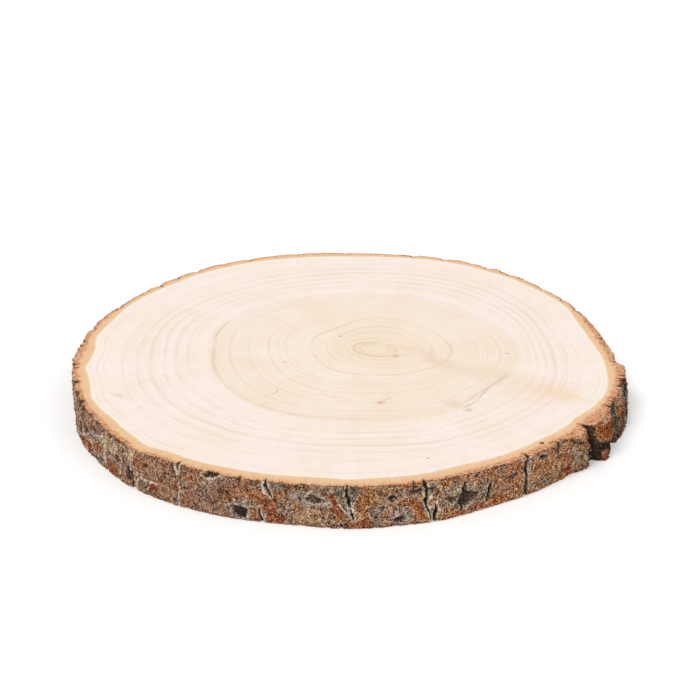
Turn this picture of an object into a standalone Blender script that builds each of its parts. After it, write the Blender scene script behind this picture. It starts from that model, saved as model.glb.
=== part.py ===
# Round slice of a tree trunk with its bark on, sawn flat on both faces.
#
# Frame: metres, +Z up, origin at the centre of the slice's box on the plane it
# rests on. +X is the longest way across, +Z is through the thickness.
#
# The slice is one natural piece. Its outline comes from radii at even angles,
# joined by a smooth closed curve, and is extruded to the thickness. The wall is
# then rounded and roughened a little, and the fissures, knots and the deep cleft
# of the bark are cut out of it.

import math

import bmesh
import bpy
from mathutils import Matrix, Vector

MM = 0.001

# --- driving dimensions, millimetres and degrees --------------------------------
THICKNESS = 24.0
WIDTH_X = 300.0              # across the slice along X
WIDTH_Y = 287.0              # across the slice along Y
OUTLINE_POINTS = 160         # corners of the extruded outline

# Radius of the bark at the top face every 15 degrees, counter-clockwise from +X.
OUTLINE_STEP = 15.0
OUTLINE_RADII = [146.5, 144.5, 146.0, 147.5, 147.5, 144.5,
                 143.0, 146.0, 146.5, 147.5, 147.0, 148.0,
                 149.5, 151.5, 150.0, 149.0, 145.0, 142.5,
                 143.0, 143.0, 143.0, 145.0, 147.0, 151.0]

WALL_LEVELS = [3.5, 8.0, 12.5, 17.0, 20.5]   # heights of the rings of corners in the wall
WALL_BULGE = 0.9             # how far the middle of the bark stands proud of its edges
EDGE_BREAK = 0.5             # how far the bark's lower edge is worn back

# Places where the bark is thicker or worn back, over the whole height:
# (name, angle, half width in degrees, height in millimetres)
SWELLINGS = [
    ("left shoulder", 205.0, 9.0, 0.8),
    ("front left plate", 262.0, 7.0, 0.7),
    ("front right plate", 297.0, 8.0, 0.6),
    ("lump before the cleft", 321.0, 4.5, 1.2),
    ("lump after the cleft", 338.0, 6.0, 1.6),
    ("back hollow", 97.0, 8.0, -0.7),
]

# Long cracks in the bark: (name, angle, lean in degrees, low end, high end,
# half width, depth). The lean turns the top of the crack towards lower angles.
FISSURES = [
    ("left_bottom", 223.2, 3.0, -2.0, 13.0, 1.1, 2.6),
    ("left_wedge", 234.6, 0.0, 18.5, 26.0, 1.1, 2.2),
    ("front_slant", 253.9, 14.0, 14.5, 26.0, 0.9, 2.4),
    ("front_low", 252.4, 5.0, -2.0, 9.0, 0.9, 2.2),
    ("front_main", 270.3, 6.0, 4.0, 26.0, 1.2, 3.2),
    ("front_foot", 268.7, 0.0, -2.0, 4.0, 1.3, 2.2),
    ("mid_upper", 285.7, 4.0, 10.0, 26.0, 1.1, 2.8),
    ("mid_lower", 287.7, 0.0, -2.0, 9.0, 1.1, 2.6),
    ("right_slit", 299.7, 0.0, 5.0, 17.0, 0.8, 1.8),
    ("right_full", 308.9, 2.0, -2.0, 26.0, 1.2, 3.4),
    ("right_rim", 317.5, 6.0, 15.0, 26.0, 1.0, 2.8),
    ("side_rim", 3.0, -4.0, 12.0, 26.0, 1.1, 2.4),
    ("side_low", 16.0, 5.0, -2.0, 12.0, 1.0, 2.2),
    ("back_right", 38.0, 3.0, -2.0, 26.0, 1.2, 2.8),
    ("back_right_low", 57.0, -6.0, -2.0, 11.0, 1.0, 2.2),
    ("back_main", 83.0, 4.0, -2.0, 26.0, 1.2, 3.0),
    ("back_rim", 104.0, -5.0, 13.0, 26.0, 1.0, 2.2),
    ("back_left", 127.0, -3.0, -2.0, 26.0, 1.1, 2.8),
    ("back_left_low", 146.0, 6.0, -2.0, 12.0, 1.0, 2.2),
    ("side_left", 166.0, 3.0, 10.0, 26.0, 1.1, 2.4),
    ("side_left_low", 186.0, -4.0, -2.0, 14.0, 1.0, 2.2),
]

# The deep cleft beside the thickest bark, open from top to bottom.
CLEFT_ANGLE = 328.3
CLEFT_HALF_WIDTH = 3.2
CLEFT_DEPTH = 8.0

# Hollows left by fallen twigs, like closed eyes in the bark:
# (name, angle, height, half width, half height, depth)
EYES = [
    ("left_dark", 201.0, 10.5, 3.0, 2.6, 1.6),
    ("left_low", 211.5, 5.3, 2.4, 2.0, 1.2),
    ("front_low", 248.2, 5.5, 4.2, 3.4, 1.6),
    ("front_large", 263.4, 16.0, 6.0, 2.4, 1.8),
    ("mid_high", 278.8, 17.0, 3.0, 2.2, 1.6),
    ("mid_side", 276.6, 11.0, 2.8, 1.8, 1.2),
    ("mid_low", 280.4, 5.0, 3.6, 2.2, 1.4),
    ("right_diamond", 294.3, 10.5, 4.6, 3.8, 1.8),
    ("right_small", 305.4, 15.7, 2.2, 1.6, 1.4),
    ("right_high", 313.2, 20.0, 3.2, 1.6, 1.4),
    ("side", 27.0, 13.0, 3.4, 2.4, 1.4),
    ("back_right", 70.0, 9.0, 4.4, 2.8, 1.5),
    ("back_left", 114.0, 14.0, 4.0, 2.4, 1.5),
    ("left_back", 155.0, 10.0, 3.6, 2.6, 1.4),
]

# Colours (linear RGB) of the pale end grain and of the bark.
END_GRAIN_COLOUR = (0.94, 0.82, 0.72, 1.0)
END_GRAIN_ROUGHNESS = 0.62
BARK_COLOUR = (0.20, 0.13, 0.09, 1.0)
BARK_ROUGHNESS = 0.9


# --- shape rules -----------------------------------------------------------------
def closed_spline(values, where):
    """Value at 'where' (in steps) of a smooth closed curve through the values."""
    n = len(values)
    i = math.floor(where)
    t = where - i
    a, b, c, d = (values[(i + k) % n] for k in (-1, 0, 1, 2))
    return 0.5 * (2 * b + (c - a) * t + (2 * a - 5 * b + 4 * c - d) * t * t
                  + (3 * b - a - 3 * c + d) * t ** 3)


def angle_gap(a, b):
    """Signed difference between two angles in degrees, between -180 and 180."""
    return (a - b + 180.0) % 360.0 - 180.0


def outline_radius(angle):
    """Radius of the slice's rim, in millimetres."""
    r = closed_spline(OUTLINE_RADII, angle / OUTLINE_STEP)
    for _name, centre, half_width, height in SWELLINGS:
        r += height * math.exp(-(angle_gap(angle, centre) / half_width) ** 2)
    # the shallow plates of the bark, each a few degrees across
    r += 0.35 * math.sin(math.radians(23 * angle + 40)) + 0.25 * math.sin(math.radians(41 * angle + 110))
    return r


def wall_offset(angle, z):
    """How far the bark stands out from the rim at a height, in millimetres."""
    h = z / THICKNESS
    bulge = WALL_BULGE * math.sin(math.pi * h) * (1.0 + 0.5 * math.sin(math.radians(9 * angle)))
    worn = -EDGE_BREAK * (1.0 - h) * (1.0 + math.sin(math.radians(7 * angle + 60)))
    rough = 0.3 * math.sin(math.radians(29 * angle) + 5.0 * h) * math.sin(math.pi * h)
    return bulge + worn + rough


def on_wall(angle, z, outwards=0.0):
    """Point of the wall at an angle and height, in metres."""
    r = (outline_radius(angle) + wall_offset(angle, z) + outwards) * MM
    a = math.radians(angle)
    return Vector((r * math.cos(a), r * math.sin(a), z * MM))


# --- scene helpers ---------------------------------------------------------------
def new_collection(name):
    collection = bpy.data.collections.new(name)
    bpy.context.scene.collection.children.link(collection)
    return collection


def principled(name, colour, roughness, metallic=0.0):
    material = bpy.data.materials.new(name)
    material.use_nodes = True
    shader = material.node_tree.nodes["Principled BSDF"]
    shader.inputs["Base Color"].default_value = colour
    shader.inputs["Roughness"].default_value = roughness
    shader.inputs["Metallic"].default_value = metallic
    material.diffuse_color = colour
    return material


def move_to(ob, collection):
    for other in list(ob.users_collection):
        other.objects.unlink(ob)
    collection.objects.link(ob)


def as_cutter(ob, name):
    ob.name = name
    ob.hide_render = True
    ob.display_type = "WIRE"
    move_to(ob, cutters)
    return ob


def difference(target, cutter):
    modifier = target.modifiers.new("cut_" + cutter.name, "BOOLEAN")
    modifier.operation = "DIFFERENCE"
    modifier.solver = "EXACT"
    modifier.object = cutter


def on_radius(angle, lean=0.0):
    """Rotation whose X axis points out of the wall, leaning about that axis."""
    return Matrix.Rotation(math.radians(angle), 4, "Z") @ Matrix.Rotation(math.radians(lean), 4, "X")


# --- start from an empty scene -----------------------------------------------------
for ob in list(bpy.data.objects):
    bpy.data.objects.remove(ob, do_unlink=True)

slice_parts = new_collection("wood_slice_parts")
cutters = new_collection("wood_slice_cutters")

end_grain = principled("end_grain", END_GRAIN_COLOUR, END_GRAIN_ROUGHNESS)
bark = principled("bark", BARK_COLOUR, BARK_ROUGHNESS)

# --- the slice's outline, extruded to its thickness --------------------------------
rim = []
for k in range(OUTLINE_POINTS):
    angle = 360.0 * k / OUTLINE_POINTS
    r = outline_radius(angle)
    rim.append(Vector((r * math.cos(math.radians(angle)), r * math.sin(math.radians(angle)), 0.0)))

curve = bpy.data.curves.new("wood_slice_outline", "CURVE")
curve.dimensions = "2D"
curve.fill_mode = "BOTH"
curve.extrude = THICKNESS / 2 * MM
spline = curve.splines.new("POLY")
spline.points.add(len(rim) - 1)
for point, p in zip(spline.points, rim):
    point.co = (p.x * MM, p.y * MM, 0.0, 1.0)
spline.use_cyclic_u = True
outline = bpy.data.objects.new("wood_slice_outline", curve)
outline.location = (0.0, 0.0, THICKNESS / 2 * MM)
bpy.context.scene.collection.objects.link(outline)
bpy.context.view_layer.update()

mesh = bpy.data.meshes.new_from_object(outline.evaluated_get(bpy.context.evaluated_depsgraph_get()))
mesh.name = "wood_slice"
body = bmesh.new()
body.from_mesh(mesh)
body.transform(outline.matrix_world)
bmesh.ops.remove_doubles(body, verts=body.verts, dist=1e-6)

# rings of corners around the wall, then the wall's rounding and roughness
for level in WALL_LEVELS:
    bmesh.ops.bisect_plane(body, geom=body.verts[:] + body.edges[:] + body.faces[:], dist=1e-7,
                           plane_co=(0.0, 0.0, level * MM), plane_no=(0.0, 0.0, 1.0))
for vert in body.verts:
    flat = math.hypot(vert.co.x, vert.co.y)
    angle = math.degrees(math.atan2(vert.co.y, vert.co.x)) % 360.0
    if flat > 0.1:
        r = flat + wall_offset(angle, vert.co.z / MM) * MM
        vert.co.x, vert.co.y = r * math.cos(math.radians(angle)), r * math.sin(math.radians(angle))

# fit the box to the stated widths, centred on the origin
xs = [v.co.x for v in body.verts]
ys = [v.co.y for v in body.verts]
fit = Matrix.Diagonal((WIDTH_X * MM / (max(xs) - min(xs)), WIDTH_Y * MM / (max(ys) - min(ys)), 1.0, 1.0))
centre = Vector(((max(xs) + min(xs)) / 2, (max(ys) + min(ys)) / 2, 0.0))
body.transform(fit @ Matrix.Translation(-centre))
bmesh.ops.recalc_face_normals(body, faces=body.faces[:])
body.to_mesh(mesh)
body.free()
bpy.data.objects.remove(outline, do_unlink=True)

wood_slice = bpy.data.objects.new("wood_slice", mesh)
slice_parts.objects.link(wood_slice)
wood_slice.data.materials.clear()
wood_slice.data.materials.append(end_grain)
wood_slice.data.materials.append(bark)
for face in wood_slice.data.polygons:
    face.material_index = 0 if abs(face.normal.z) > 0.9 else 1

# --- fissures: a narrow diamond prism whose inner corner is the crack's bottom -----
for name, angle, lean, low, high, half_width, depth in FISSURES:
    bpy.ops.mesh.primitive_cylinder_add(vertices=4, radius=1.0, depth=1.0, end_fill_type="NGON")
    ob = as_cutter(bpy.context.object, "fissure_" + name)
    ob.data.transform(Matrix.Diagonal((depth * MM, half_width * MM, (high - low) * MM, 1.0)))
    middle = fit @ (on_wall(angle, (low + high) / 2) - centre)
    middle.z = (low + high) / 2 * MM
    ob.matrix_world = Matrix.Translation(middle) @ on_radius(angle, lean)
    ob.data.materials.append(bark)
    difference(wood_slice, ob)

# --- the deep cleft ----------------------------------------------------------------
bpy.ops.mesh.primitive_cylinder_add(vertices=4, radius=1.0, depth=1.0, end_fill_type="NGON")
ob = as_cutter(bpy.context.object, "deep_cleft")
ob.data.transform(Matrix.Diagonal((CLEFT_DEPTH * MM, CLEFT_HALF_WIDTH * MM, (THICKNESS + 4.0) * MM, 1.0)))
ob.matrix_world = Matrix.Translation(fit @ (on_wall(CLEFT_ANGLE, THICKNESS / 2, 1.0) - centre)) @ on_radius(CLEFT_ANGLE)
ob.data.materials.append(bark)
difference(wood_slice, ob)

# --- eyes: shallow bowls in the bark -------------------------------------------------
for name, angle, z, half_width, half_height, depth in EYES:
    bpy.ops.mesh.primitive_uv_sphere_add(segments=12, ring_count=6, radius=1.0)
    ob = as_cutter(bpy.context.object, "eye_" + name)
    ob.data.transform(Matrix.Diagonal((depth * MM, half_width * MM, half_height * MM, 1.0)))
    ob.matrix_world = Matrix.Translation(fit @ (on_wall(angle, z) - centre)) @ on_radius(angle)
    ob.data.materials.append(bark)
    difference(wood_slice, ob)

wood_slice.data.shade_smooth()
wood_slice.data.set_sharp_from_angle(angle=math.radians(35.0))
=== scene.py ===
# Looks of the wood slice: one closed mesh, a sawn end grain with growth rings on
# both faces and rough bark round the edge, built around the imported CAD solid.
# Lengths in the tables below are millimetres, angles are degrees round the slice,
# counter-clockwise from +X, and heights are measured from the face it rests on.

import math

import bmesh
import bpy
import numpy as np
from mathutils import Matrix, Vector


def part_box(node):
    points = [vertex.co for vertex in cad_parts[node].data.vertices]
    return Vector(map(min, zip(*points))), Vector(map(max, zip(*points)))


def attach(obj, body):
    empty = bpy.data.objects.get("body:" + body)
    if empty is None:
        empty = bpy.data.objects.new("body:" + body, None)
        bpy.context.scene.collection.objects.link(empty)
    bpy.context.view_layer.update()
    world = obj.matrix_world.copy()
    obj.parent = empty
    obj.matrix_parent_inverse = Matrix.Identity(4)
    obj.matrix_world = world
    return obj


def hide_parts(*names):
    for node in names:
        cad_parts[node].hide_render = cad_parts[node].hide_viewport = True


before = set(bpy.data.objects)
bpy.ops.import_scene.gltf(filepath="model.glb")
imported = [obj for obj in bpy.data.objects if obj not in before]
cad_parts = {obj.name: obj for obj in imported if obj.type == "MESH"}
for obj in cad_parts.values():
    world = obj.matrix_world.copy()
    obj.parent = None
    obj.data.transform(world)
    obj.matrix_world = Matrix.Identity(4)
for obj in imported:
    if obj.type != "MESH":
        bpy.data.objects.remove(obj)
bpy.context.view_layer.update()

MM = 0.001
LOW, HIGH = (np.array(c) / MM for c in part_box("wood_slice"))
THICKNESS = float(HIGH[2] - LOW[2])

# =================================================================================
# Dimensions
# =================================================================================
COLUMNS = 1792               # corners round the bark
DENSE = (196.0, 356.0, 1216) # the side with the eyes and plates takes most of them
WALL_ROWS = 38               # rows of corners down the bark
MM_PER_DEGREE = 2.53         # along the bark, at its mean radius
TONE_STRETCH = 6.0           # contrast of the bark's light and dark flecks
BARK_SATURATION = 1.17
BARK_VALUE = 0.655
BARK_HUE = 0.493

# Outer edge of the bark at the top face every 10 degrees, over the tops of the plates.
RIM = [146.0, 143.9, 144.0, 145.2, 145.6, 146.5, 147.0, 145.8, 143.2, 142.9, 144.6, 145.7,
       147.2, 147.0, 146.4, 146.4, 148.0, 148.6, 149.2, 149.5, 149.9, 149.2, 149.9, 148.0,
       145.8, 144.0, 142.3, 142.8, 143.0, 143.2, 143.0, 144.6, 146.0, 149.3, 148.4, 149.8]
# How far the bark's foot stands outside its top edge every 10 degrees.
FOOT = [0.3, 0.3, -0.5, -0.8, 0.4, 0.9, -0.3, -0.9, 0.2, 0.8, 0.5, -0.6,
        -1.0, 0.1, 0.7, 0.4, -0.5, -0.6, -0.9, -0.6, 0.5, 0.4, -0.1, 0.4,
        0.3, -0.5, -0.4, 0.5, -0.5, -0.7, -2.2, -2.2, -1.9, 1.6, 3.2, 3.0]
# Edge of the wood under the bark every 5 degrees.
WOOD = [138.8, 136.9, 135.8, 136.1, 136.9, 139.4, 140.8, 140.9, 141.1, 141.4, 142.1, 141.4,
        142.0, 141.5, 140.5, 139.4, 138.3, 137.6, 137.2, 137.5, 138.3, 139.1, 139.9, 140.7,
        141.2, 141.4, 141.7, 141.0, 141.1, 141.6, 142.0, 141.6, 141.0, 141.4, 141.8, 139.4,
        139.9, 142.3, 141.0, 141.6, 143.1, 142.5, 141.0, 141.5, 141.9, 143.1, 140.0, 139.5,
        138.4, 137.2, 136.7, 136.0, 134.9, 134.7, 136.1, 135.3, 135.1, 135.4, 134.5, 133.7,
        134.4, 135.2, 135.6, 135.6, 136.9, 137.7, 137.6, 140.4, 142.2, 142.8, 141.2, 139.8]

# Swellings of the rim: (angle, half width, height at the top, height at the foot).
SWELLINGS = [(47.0, 1.6, 1.0, 0.3), (53.3, 1.4, 1.6, 0.5), (63.6, 1.6, 1.0, 0.4), (225.0, 2.4, 1.7, 0.0),
             (323.2, 1.9, 2.4, -0.6), (332.0, 2.6, 0.9, 0.4), (352.5, 3.2, 1.2, 0.6), (356.6, 1.6, 1.8, 0.6),
             (358.9, 1.4, -1.6, -0.4), (181.0, 2.0, 0.7, 0.2), (326.8, 1.4, 0.0, -1.1)]

# Edges where one bark plate steps over the next, open at the rim:
# (angle, depth, fade towards lower angles, fade towards higher angles, lean down the wall).
PLATE_STEPS = [(7.2, 1.3, 0.5, 1.2, 1.0), (13.6, 0.9, 0.4, 0.7, -1.0), (19.0, 0.7, 0.6, 0.4, 0.6),
               (25.1, 1.9, 0.25, 1.0, -1.4), (31.5, 0.8, 0.4, 0.9, 0.8), (38.5, 1.3, 0.35, 0.5, 1.6),
               (43.5, 0.8, 0.6, 0.4, -0.6), (49.6, 2.0, 1.2, 0.8, 0.6), (55.3, 2.3, 0.5, 0.7, -1.2),
               (60.5, 0.7, 0.4, 0.6, 0.7), (66.9, 2.6, 1.0, 0.6, 1.0), (74.1, 2.1, 0.4, 0.8, -0.8),
               (79.5, 0.8, 0.7, 0.4, 1.2), (85.2, 0.7, 0.4, 0.7, -0.7), (90.8, 1.8, 0.5, 0.6, 1.1),
               (97.2, 0.9, 0.4, 0.6, -1.0), (102.4, 1.9, 0.8, 0.4, 0.7), (108.0, 0.8, 0.5, 0.5, 0.5),
               (113.3, 2.0, 0.6, 0.5, -1.2), (120.1, 2.2, 0.8, 0.4, 0.8), (127.5, 2.5, 0.3, 0.8, 1.3),
               (133.0, 0.7, 0.5, 0.4, -0.7), (139.1, 2.4, 0.5, 0.6, 0.9), (145.2, 0.8, 0.4, 0.6, -1.1),
               (150.2, 0.8, 0.4, 0.4, 0.6), (153.5, 1.7, 0.9, 0.4, -0.8), (159.5, 0.9, 0.5, 0.5, 0.9),
               (165.9, 3.0, 0.9, 0.35, -0.7), (171.7, 2.2, 0.5, 1.4, 1.0), (177.0, 0.9, 0.6, 0.5, -0.6),
               (183.2, 2.0, 0.6, 0.7, 0.8), (191.0, 0.9, 0.5, 0.6, -0.8), (195.6, 1.1, 0.5, 0.8, 0.7)]

# Cracks in the bark: (depth, paleness of its lower-angle lip, of its higher-angle lip,
# points (angle, height, half width in mm)).
CRACKS = [
    (1.0, 0.5, 0.6, [(214.4, 25.0, 0.5), (214.1, 21.5, 0.3)]),
    (3.6, 0.3, 0.5, [(223.4, 12.5, 0.35), (222.9, 8.5, 0.9), (223.0, 4.0, 1.2), (223.4, -1.5, 1.5)]),
    (0.8, 0.2, 0.1, [(225.5, 13.0, 0.15), (225.3, 8.5, 0.3), (225.6, 4.0, 0.3), (225.2, 0.5, 0.4)]),
    (3.0, 1.0, 1.0, [(234.5, 25.5, 0.7), (234.6, 22.5, 0.8), (234.75, 19.0, 0.25)]),
    (1.8, 0.1, 1.0, [(234.8, 9.5, 0.2), (234.5, 5.0, 0.35), (234.7, -1.5, 0.9)]),
    (0.9, 0.0, 0.0, [(248.2, 25.0, 0.4), (248.2, 20.0, 0.2)]),
    (0.9, 0.0, 0.0, [(248.3, 7.0, 0.25), (248.5, 2.0, 0.45)]),
    (2.8, 1.1, 0.7, [(253.35, 25.5, 0.65), (253.6, 20.5, 0.75), (254.1, 18.0, 0.6), (254.65, 15.2, 0.3)]),
    (2.2, 0.2, 1.0, [(252.3, 9.3, 0.2), (252.1, 6.0, 0.5), (252.5, 3.0, 0.6), (252.9, -1.5, 0.8)]),
    (0.7, 0.1, 0.1, [(260.6, 19.9, 0.25), (260.5, 14.0, 0.35)]),
    (3.0, 0.6, 0.9, [(269.95, 25.5, 0.35), (269.75, 20.5, 0.5), (269.95, 17.5, 0.65), (270.3, 14.0, 0.85), (270.5, 11.8, 0.5)]),
    (2.8, 0.8, 1.0, [(270.65, 10.4, 0.45), (270.8, 8.0, 0.75), (271.1, 4.8, 0.35)]),
    (2.2, 0.4, 0.5, [(268.6, 2.8, 0.5), (268.6, -1.5, 1.1)]),
    (0.7, 0.0, 0.3, [(268.9, 3.7, 0.3), (269.6, 5.4, 0.25)]),
    (1.6, 0.1, 0.1, [(283.15, 25.0, 0.8), (283.1, 20.5, 0.5)]),
    (3.0, 1.2, 0.9, [(285.3, 26.0, 0.6), (285.35, 22.5, 0.9), (285.75, 19.5, 0.6), (285.85, 16.5, 0.75), (285.6, 13.0, 0.9),
                     (285.9, 10.0, 0.55), (286.3, 7.0, 0.4), (286.7, 4.0, 0.3), (286.95, 0.5, 0.3)]),
    (2.6, 0.4, 0.9, [(287.9, 13.0, 0.15), (287.6, 10.4, 0.35), (287.75, 9.0, 0.5), (288.1, 7.3, 0.9), (287.7, 4.5, 1.0), (287.4, -1.5, 0.7)]),
    (2.4, 0.3, 0.0, [(294.0, 19.6, 0.4), (293.8, 15.0, 1.1), (293.4, 10.0, 1.7), (293.4, 6.5, 1.3), (293.5, 3.6, 0.5)]),
    (2.2, 0.8, 0.2, [(299.95, 17.4, 0.3), (299.9, 12.0, 1.2), (299.55, 7.0, 0.9), (299.4, 4.4, 0.4)]),
    (3.6, 0.3, 0.55, [(309.1, 26.5, 1.0), (308.8, 21.5, 1.0), (308.5, 18.0, 0.8), (308.9, 12.0, 0.9), (309.2, 6.0, 1.0), (309.2, -1.5, 1.2)]),
    (3.4, 0.3, 0.3, [(317.9, 27.0, 1.1), (317.35, 21.0, 0.8), (317.6, 15.2, 0.3)]),
    (0.6, 0.3, 0.3, [(318.1, 14.5, 0.2), (318.3, 6.5, 0.2)]),
    (7.0, 0.2, 0.2, [(326.9, 27.0, 2.2), (327.2, 20.5, 2.6), (328.4, 13.5, 2.6), (329.2, 7.0, 3.8), (329.6, -1.5, 4.4)]),
    (4.5, 0.2, 0.2, [(337.1, 26.5, 0.5), (337.6, 20.0, 1.3), (338.4, 11.0, 1.4), (338.6, -1.5, 2.2)]),
    (2.4, 0.5, 0.3, [(341.2, 24.0, 0.5), (341.0, 15.0, 0.9), (342.2, 5.0, 0.6)]),
    (2.6, 0.2, 0.3, [(346.6, 26.0, 1.2), (347.0, 17.0, 1.2), (346.0, -1.5, 0.9)]),
    (6.0, 0.0, 0.0, [(351.7, 26.0, 0.7), (351.9, 21.0, 0.5), (351.5, 15.0, 0.3)]),
    (4.0, 0.0, 0.0, [(349.2, 26.0, 0.6), (349.4, 19.0, 0.5)]),
    (2.2, 0.3, 0.3, [(350.5, 15.0, 0.4), (350.2, 8.0, 0.9), (351.0, -1.5, 0.9)]),
    (2.6, 0.5, 0.3, [(357.9, 26.0, 0.9), (358.3, 16.0, 0.8), (357.6, 6.0, 0.4)]),
    (2.6, 0.5, 0.4, [(198.6, 20.0, 0.5), (197.9, 12.0, 0.9), (198.4, -1.5, 1.0)]),
    (2.2, 0.4, 0.5, [(186.0, 21.0, 0.5), (186.3, 14.0, 0.7)]), (2.8, 0.4, 0.4, [(191.0, 26.0, 0.8), (191.6, 17.0, 0.8), (192.2, 8.0, 0.4)]),
    (2.4, 0.6, 0.4, [(195.8, 20.0, 0.5), (195.2, 12.0, 0.8), (195.6, -1.5, 0.9)]), (2.4, 0.5, 0.5, [(201.0, 26.0, 0.5), (200.5, 19.5, 0.7)]),
    (2.0, 0.5, 0.7, [(205.0, 22.5, 0.5), (205.4, 20.0, 0.6), (204.8, 14.0, 0.3)]), (2.4, 0.5, 0.4, [(212.8, 13.5, 0.3), (213.2, 9.0, 0.7), (214.2, 4.0, 0.7), (214.0, -1.5, 1.0)]),
    (1.8, 0.6, 0.5, [(216.8, 22.0, 0.5), (216.0, 17.0, 0.6), (217.2, 12.0, 0.4)]), (1.8, 0.5, 0.6, [(210.4, 20.0, 0.5), (211.6, 15.0, 0.6), (211.2, 11.0, 0.4)]),
    (2.2, 0.4, 0.4, [(219.8, 21.0, 0.4), (220.4, 15.0, 0.7), (220.0, 9.0, 0.6), (219.2, 2.0, 0.4)]),
    (1.4, 0.3, 0.3, [(204.2, 9.5, 0.3), (204.8, 3.0, 0.5)]),
    (0.7, 0.0, 0.0, [(215.0, 22.2, 0.3), (218.0, 22.5, 0.35), (221.0, 23.2, 0.2)]),
    (0.6, 0.0, 0.0, [(256.6, 22.9, 0.2), (257.6, 21.7, 0.3), (259.4, 22.4, 0.2)]),
]

# Pale ragged streaks: (strength, points (angle, height, half width in mm)).
STREAKS = [
    (1.3, [(222.7, 13.6, 0.4), (222.8, 9.0, 0.45), (223.3, 6.0, 0.3)]),
    (0.9, [(225.6, 9.4, 0.4), (226.7, 8.2, 0.6), (228.0, 8.2, 0.6), (229.7, 9.0, 0.3)]),
    (1.0, [(226.0, 4.2, 0.2), (226.5, 5.4, 0.35), (226.9, 7.2, 0.25)]),
    (0.9, [(233.9, 24.0, 0.25), (234.05, 20.5, 0.3), (234.7, 17.9, 0.25)]), (0.9, [(235.15, 24.0, 0.3), (235.15, 20.0, 0.3), (234.8, 18.0, 0.25)]),
    (1.1, [(235.05, 11.5, 0.2), (234.75, 7.0, 0.35), (234.9, 0.5, 0.4)]),
    (0.8, [(240.1, 21.3, 0.3), (241.3, 20.0, 0.4), (243.0, 21.2, 0.4), (244.9, 23.8, 0.3)]),
    (0.8, [(253.0, 19.0, 0.6), (253.7, 16.5, 0.6), (254.4, 13.9, 0.5)]), (0.9, [(254.0, 24.0, 0.3), (254.4, 20.5, 0.4), (254.95, 16.5, 0.3)]),
    (0.9, [(267.5, 18.0, 0.4), (268.5, 13.0, 0.4), (269.5, 9.9, 0.4), (270.3, 7.4, 0.3)]),
    (0.8, [(272.3, 20.0, 0.2), (271.6, 16.0, 0.35), (271.0, 13.0, 0.3)]), (0.8, [(274.0, 10.0, 0.2), (274.4, 7.0, 0.3), (275.2, 5.0, 0.2)]),
    (0.5, [(260.4, 12.6, 0.2), (262.5, 10.6, 0.35), (264.4, 9.4, 0.2)]),
    (1.0, [(287.6, 22.6, 0.25), (288.1, 20.0, 0.35), (288.9, 17.0, 0.3)]), (0.9, [(287.4, 12.3, 0.2), (287.5, 9.4, 0.3)]),
    (1.0, [(309.7, 21.0, 0.3), (309.5, 14.0, 0.4), (309.7, 8.0, 0.3), (310.1, 3.0, 0.3)]),
    (0.5, [(318.2, 14.0, 0.3), (318.3, 7.0, 0.35)]), (0.3, [(323.2, 13.5, 0.4), (326.2, 6.5, 0.5), (327.5, 2.5, 0.4)]),
    (0.6, [(200.3, 5.4, 0.3), (203.0, 8.0, 0.4), (204.8, 10.0, 0.3)]),
]

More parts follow.
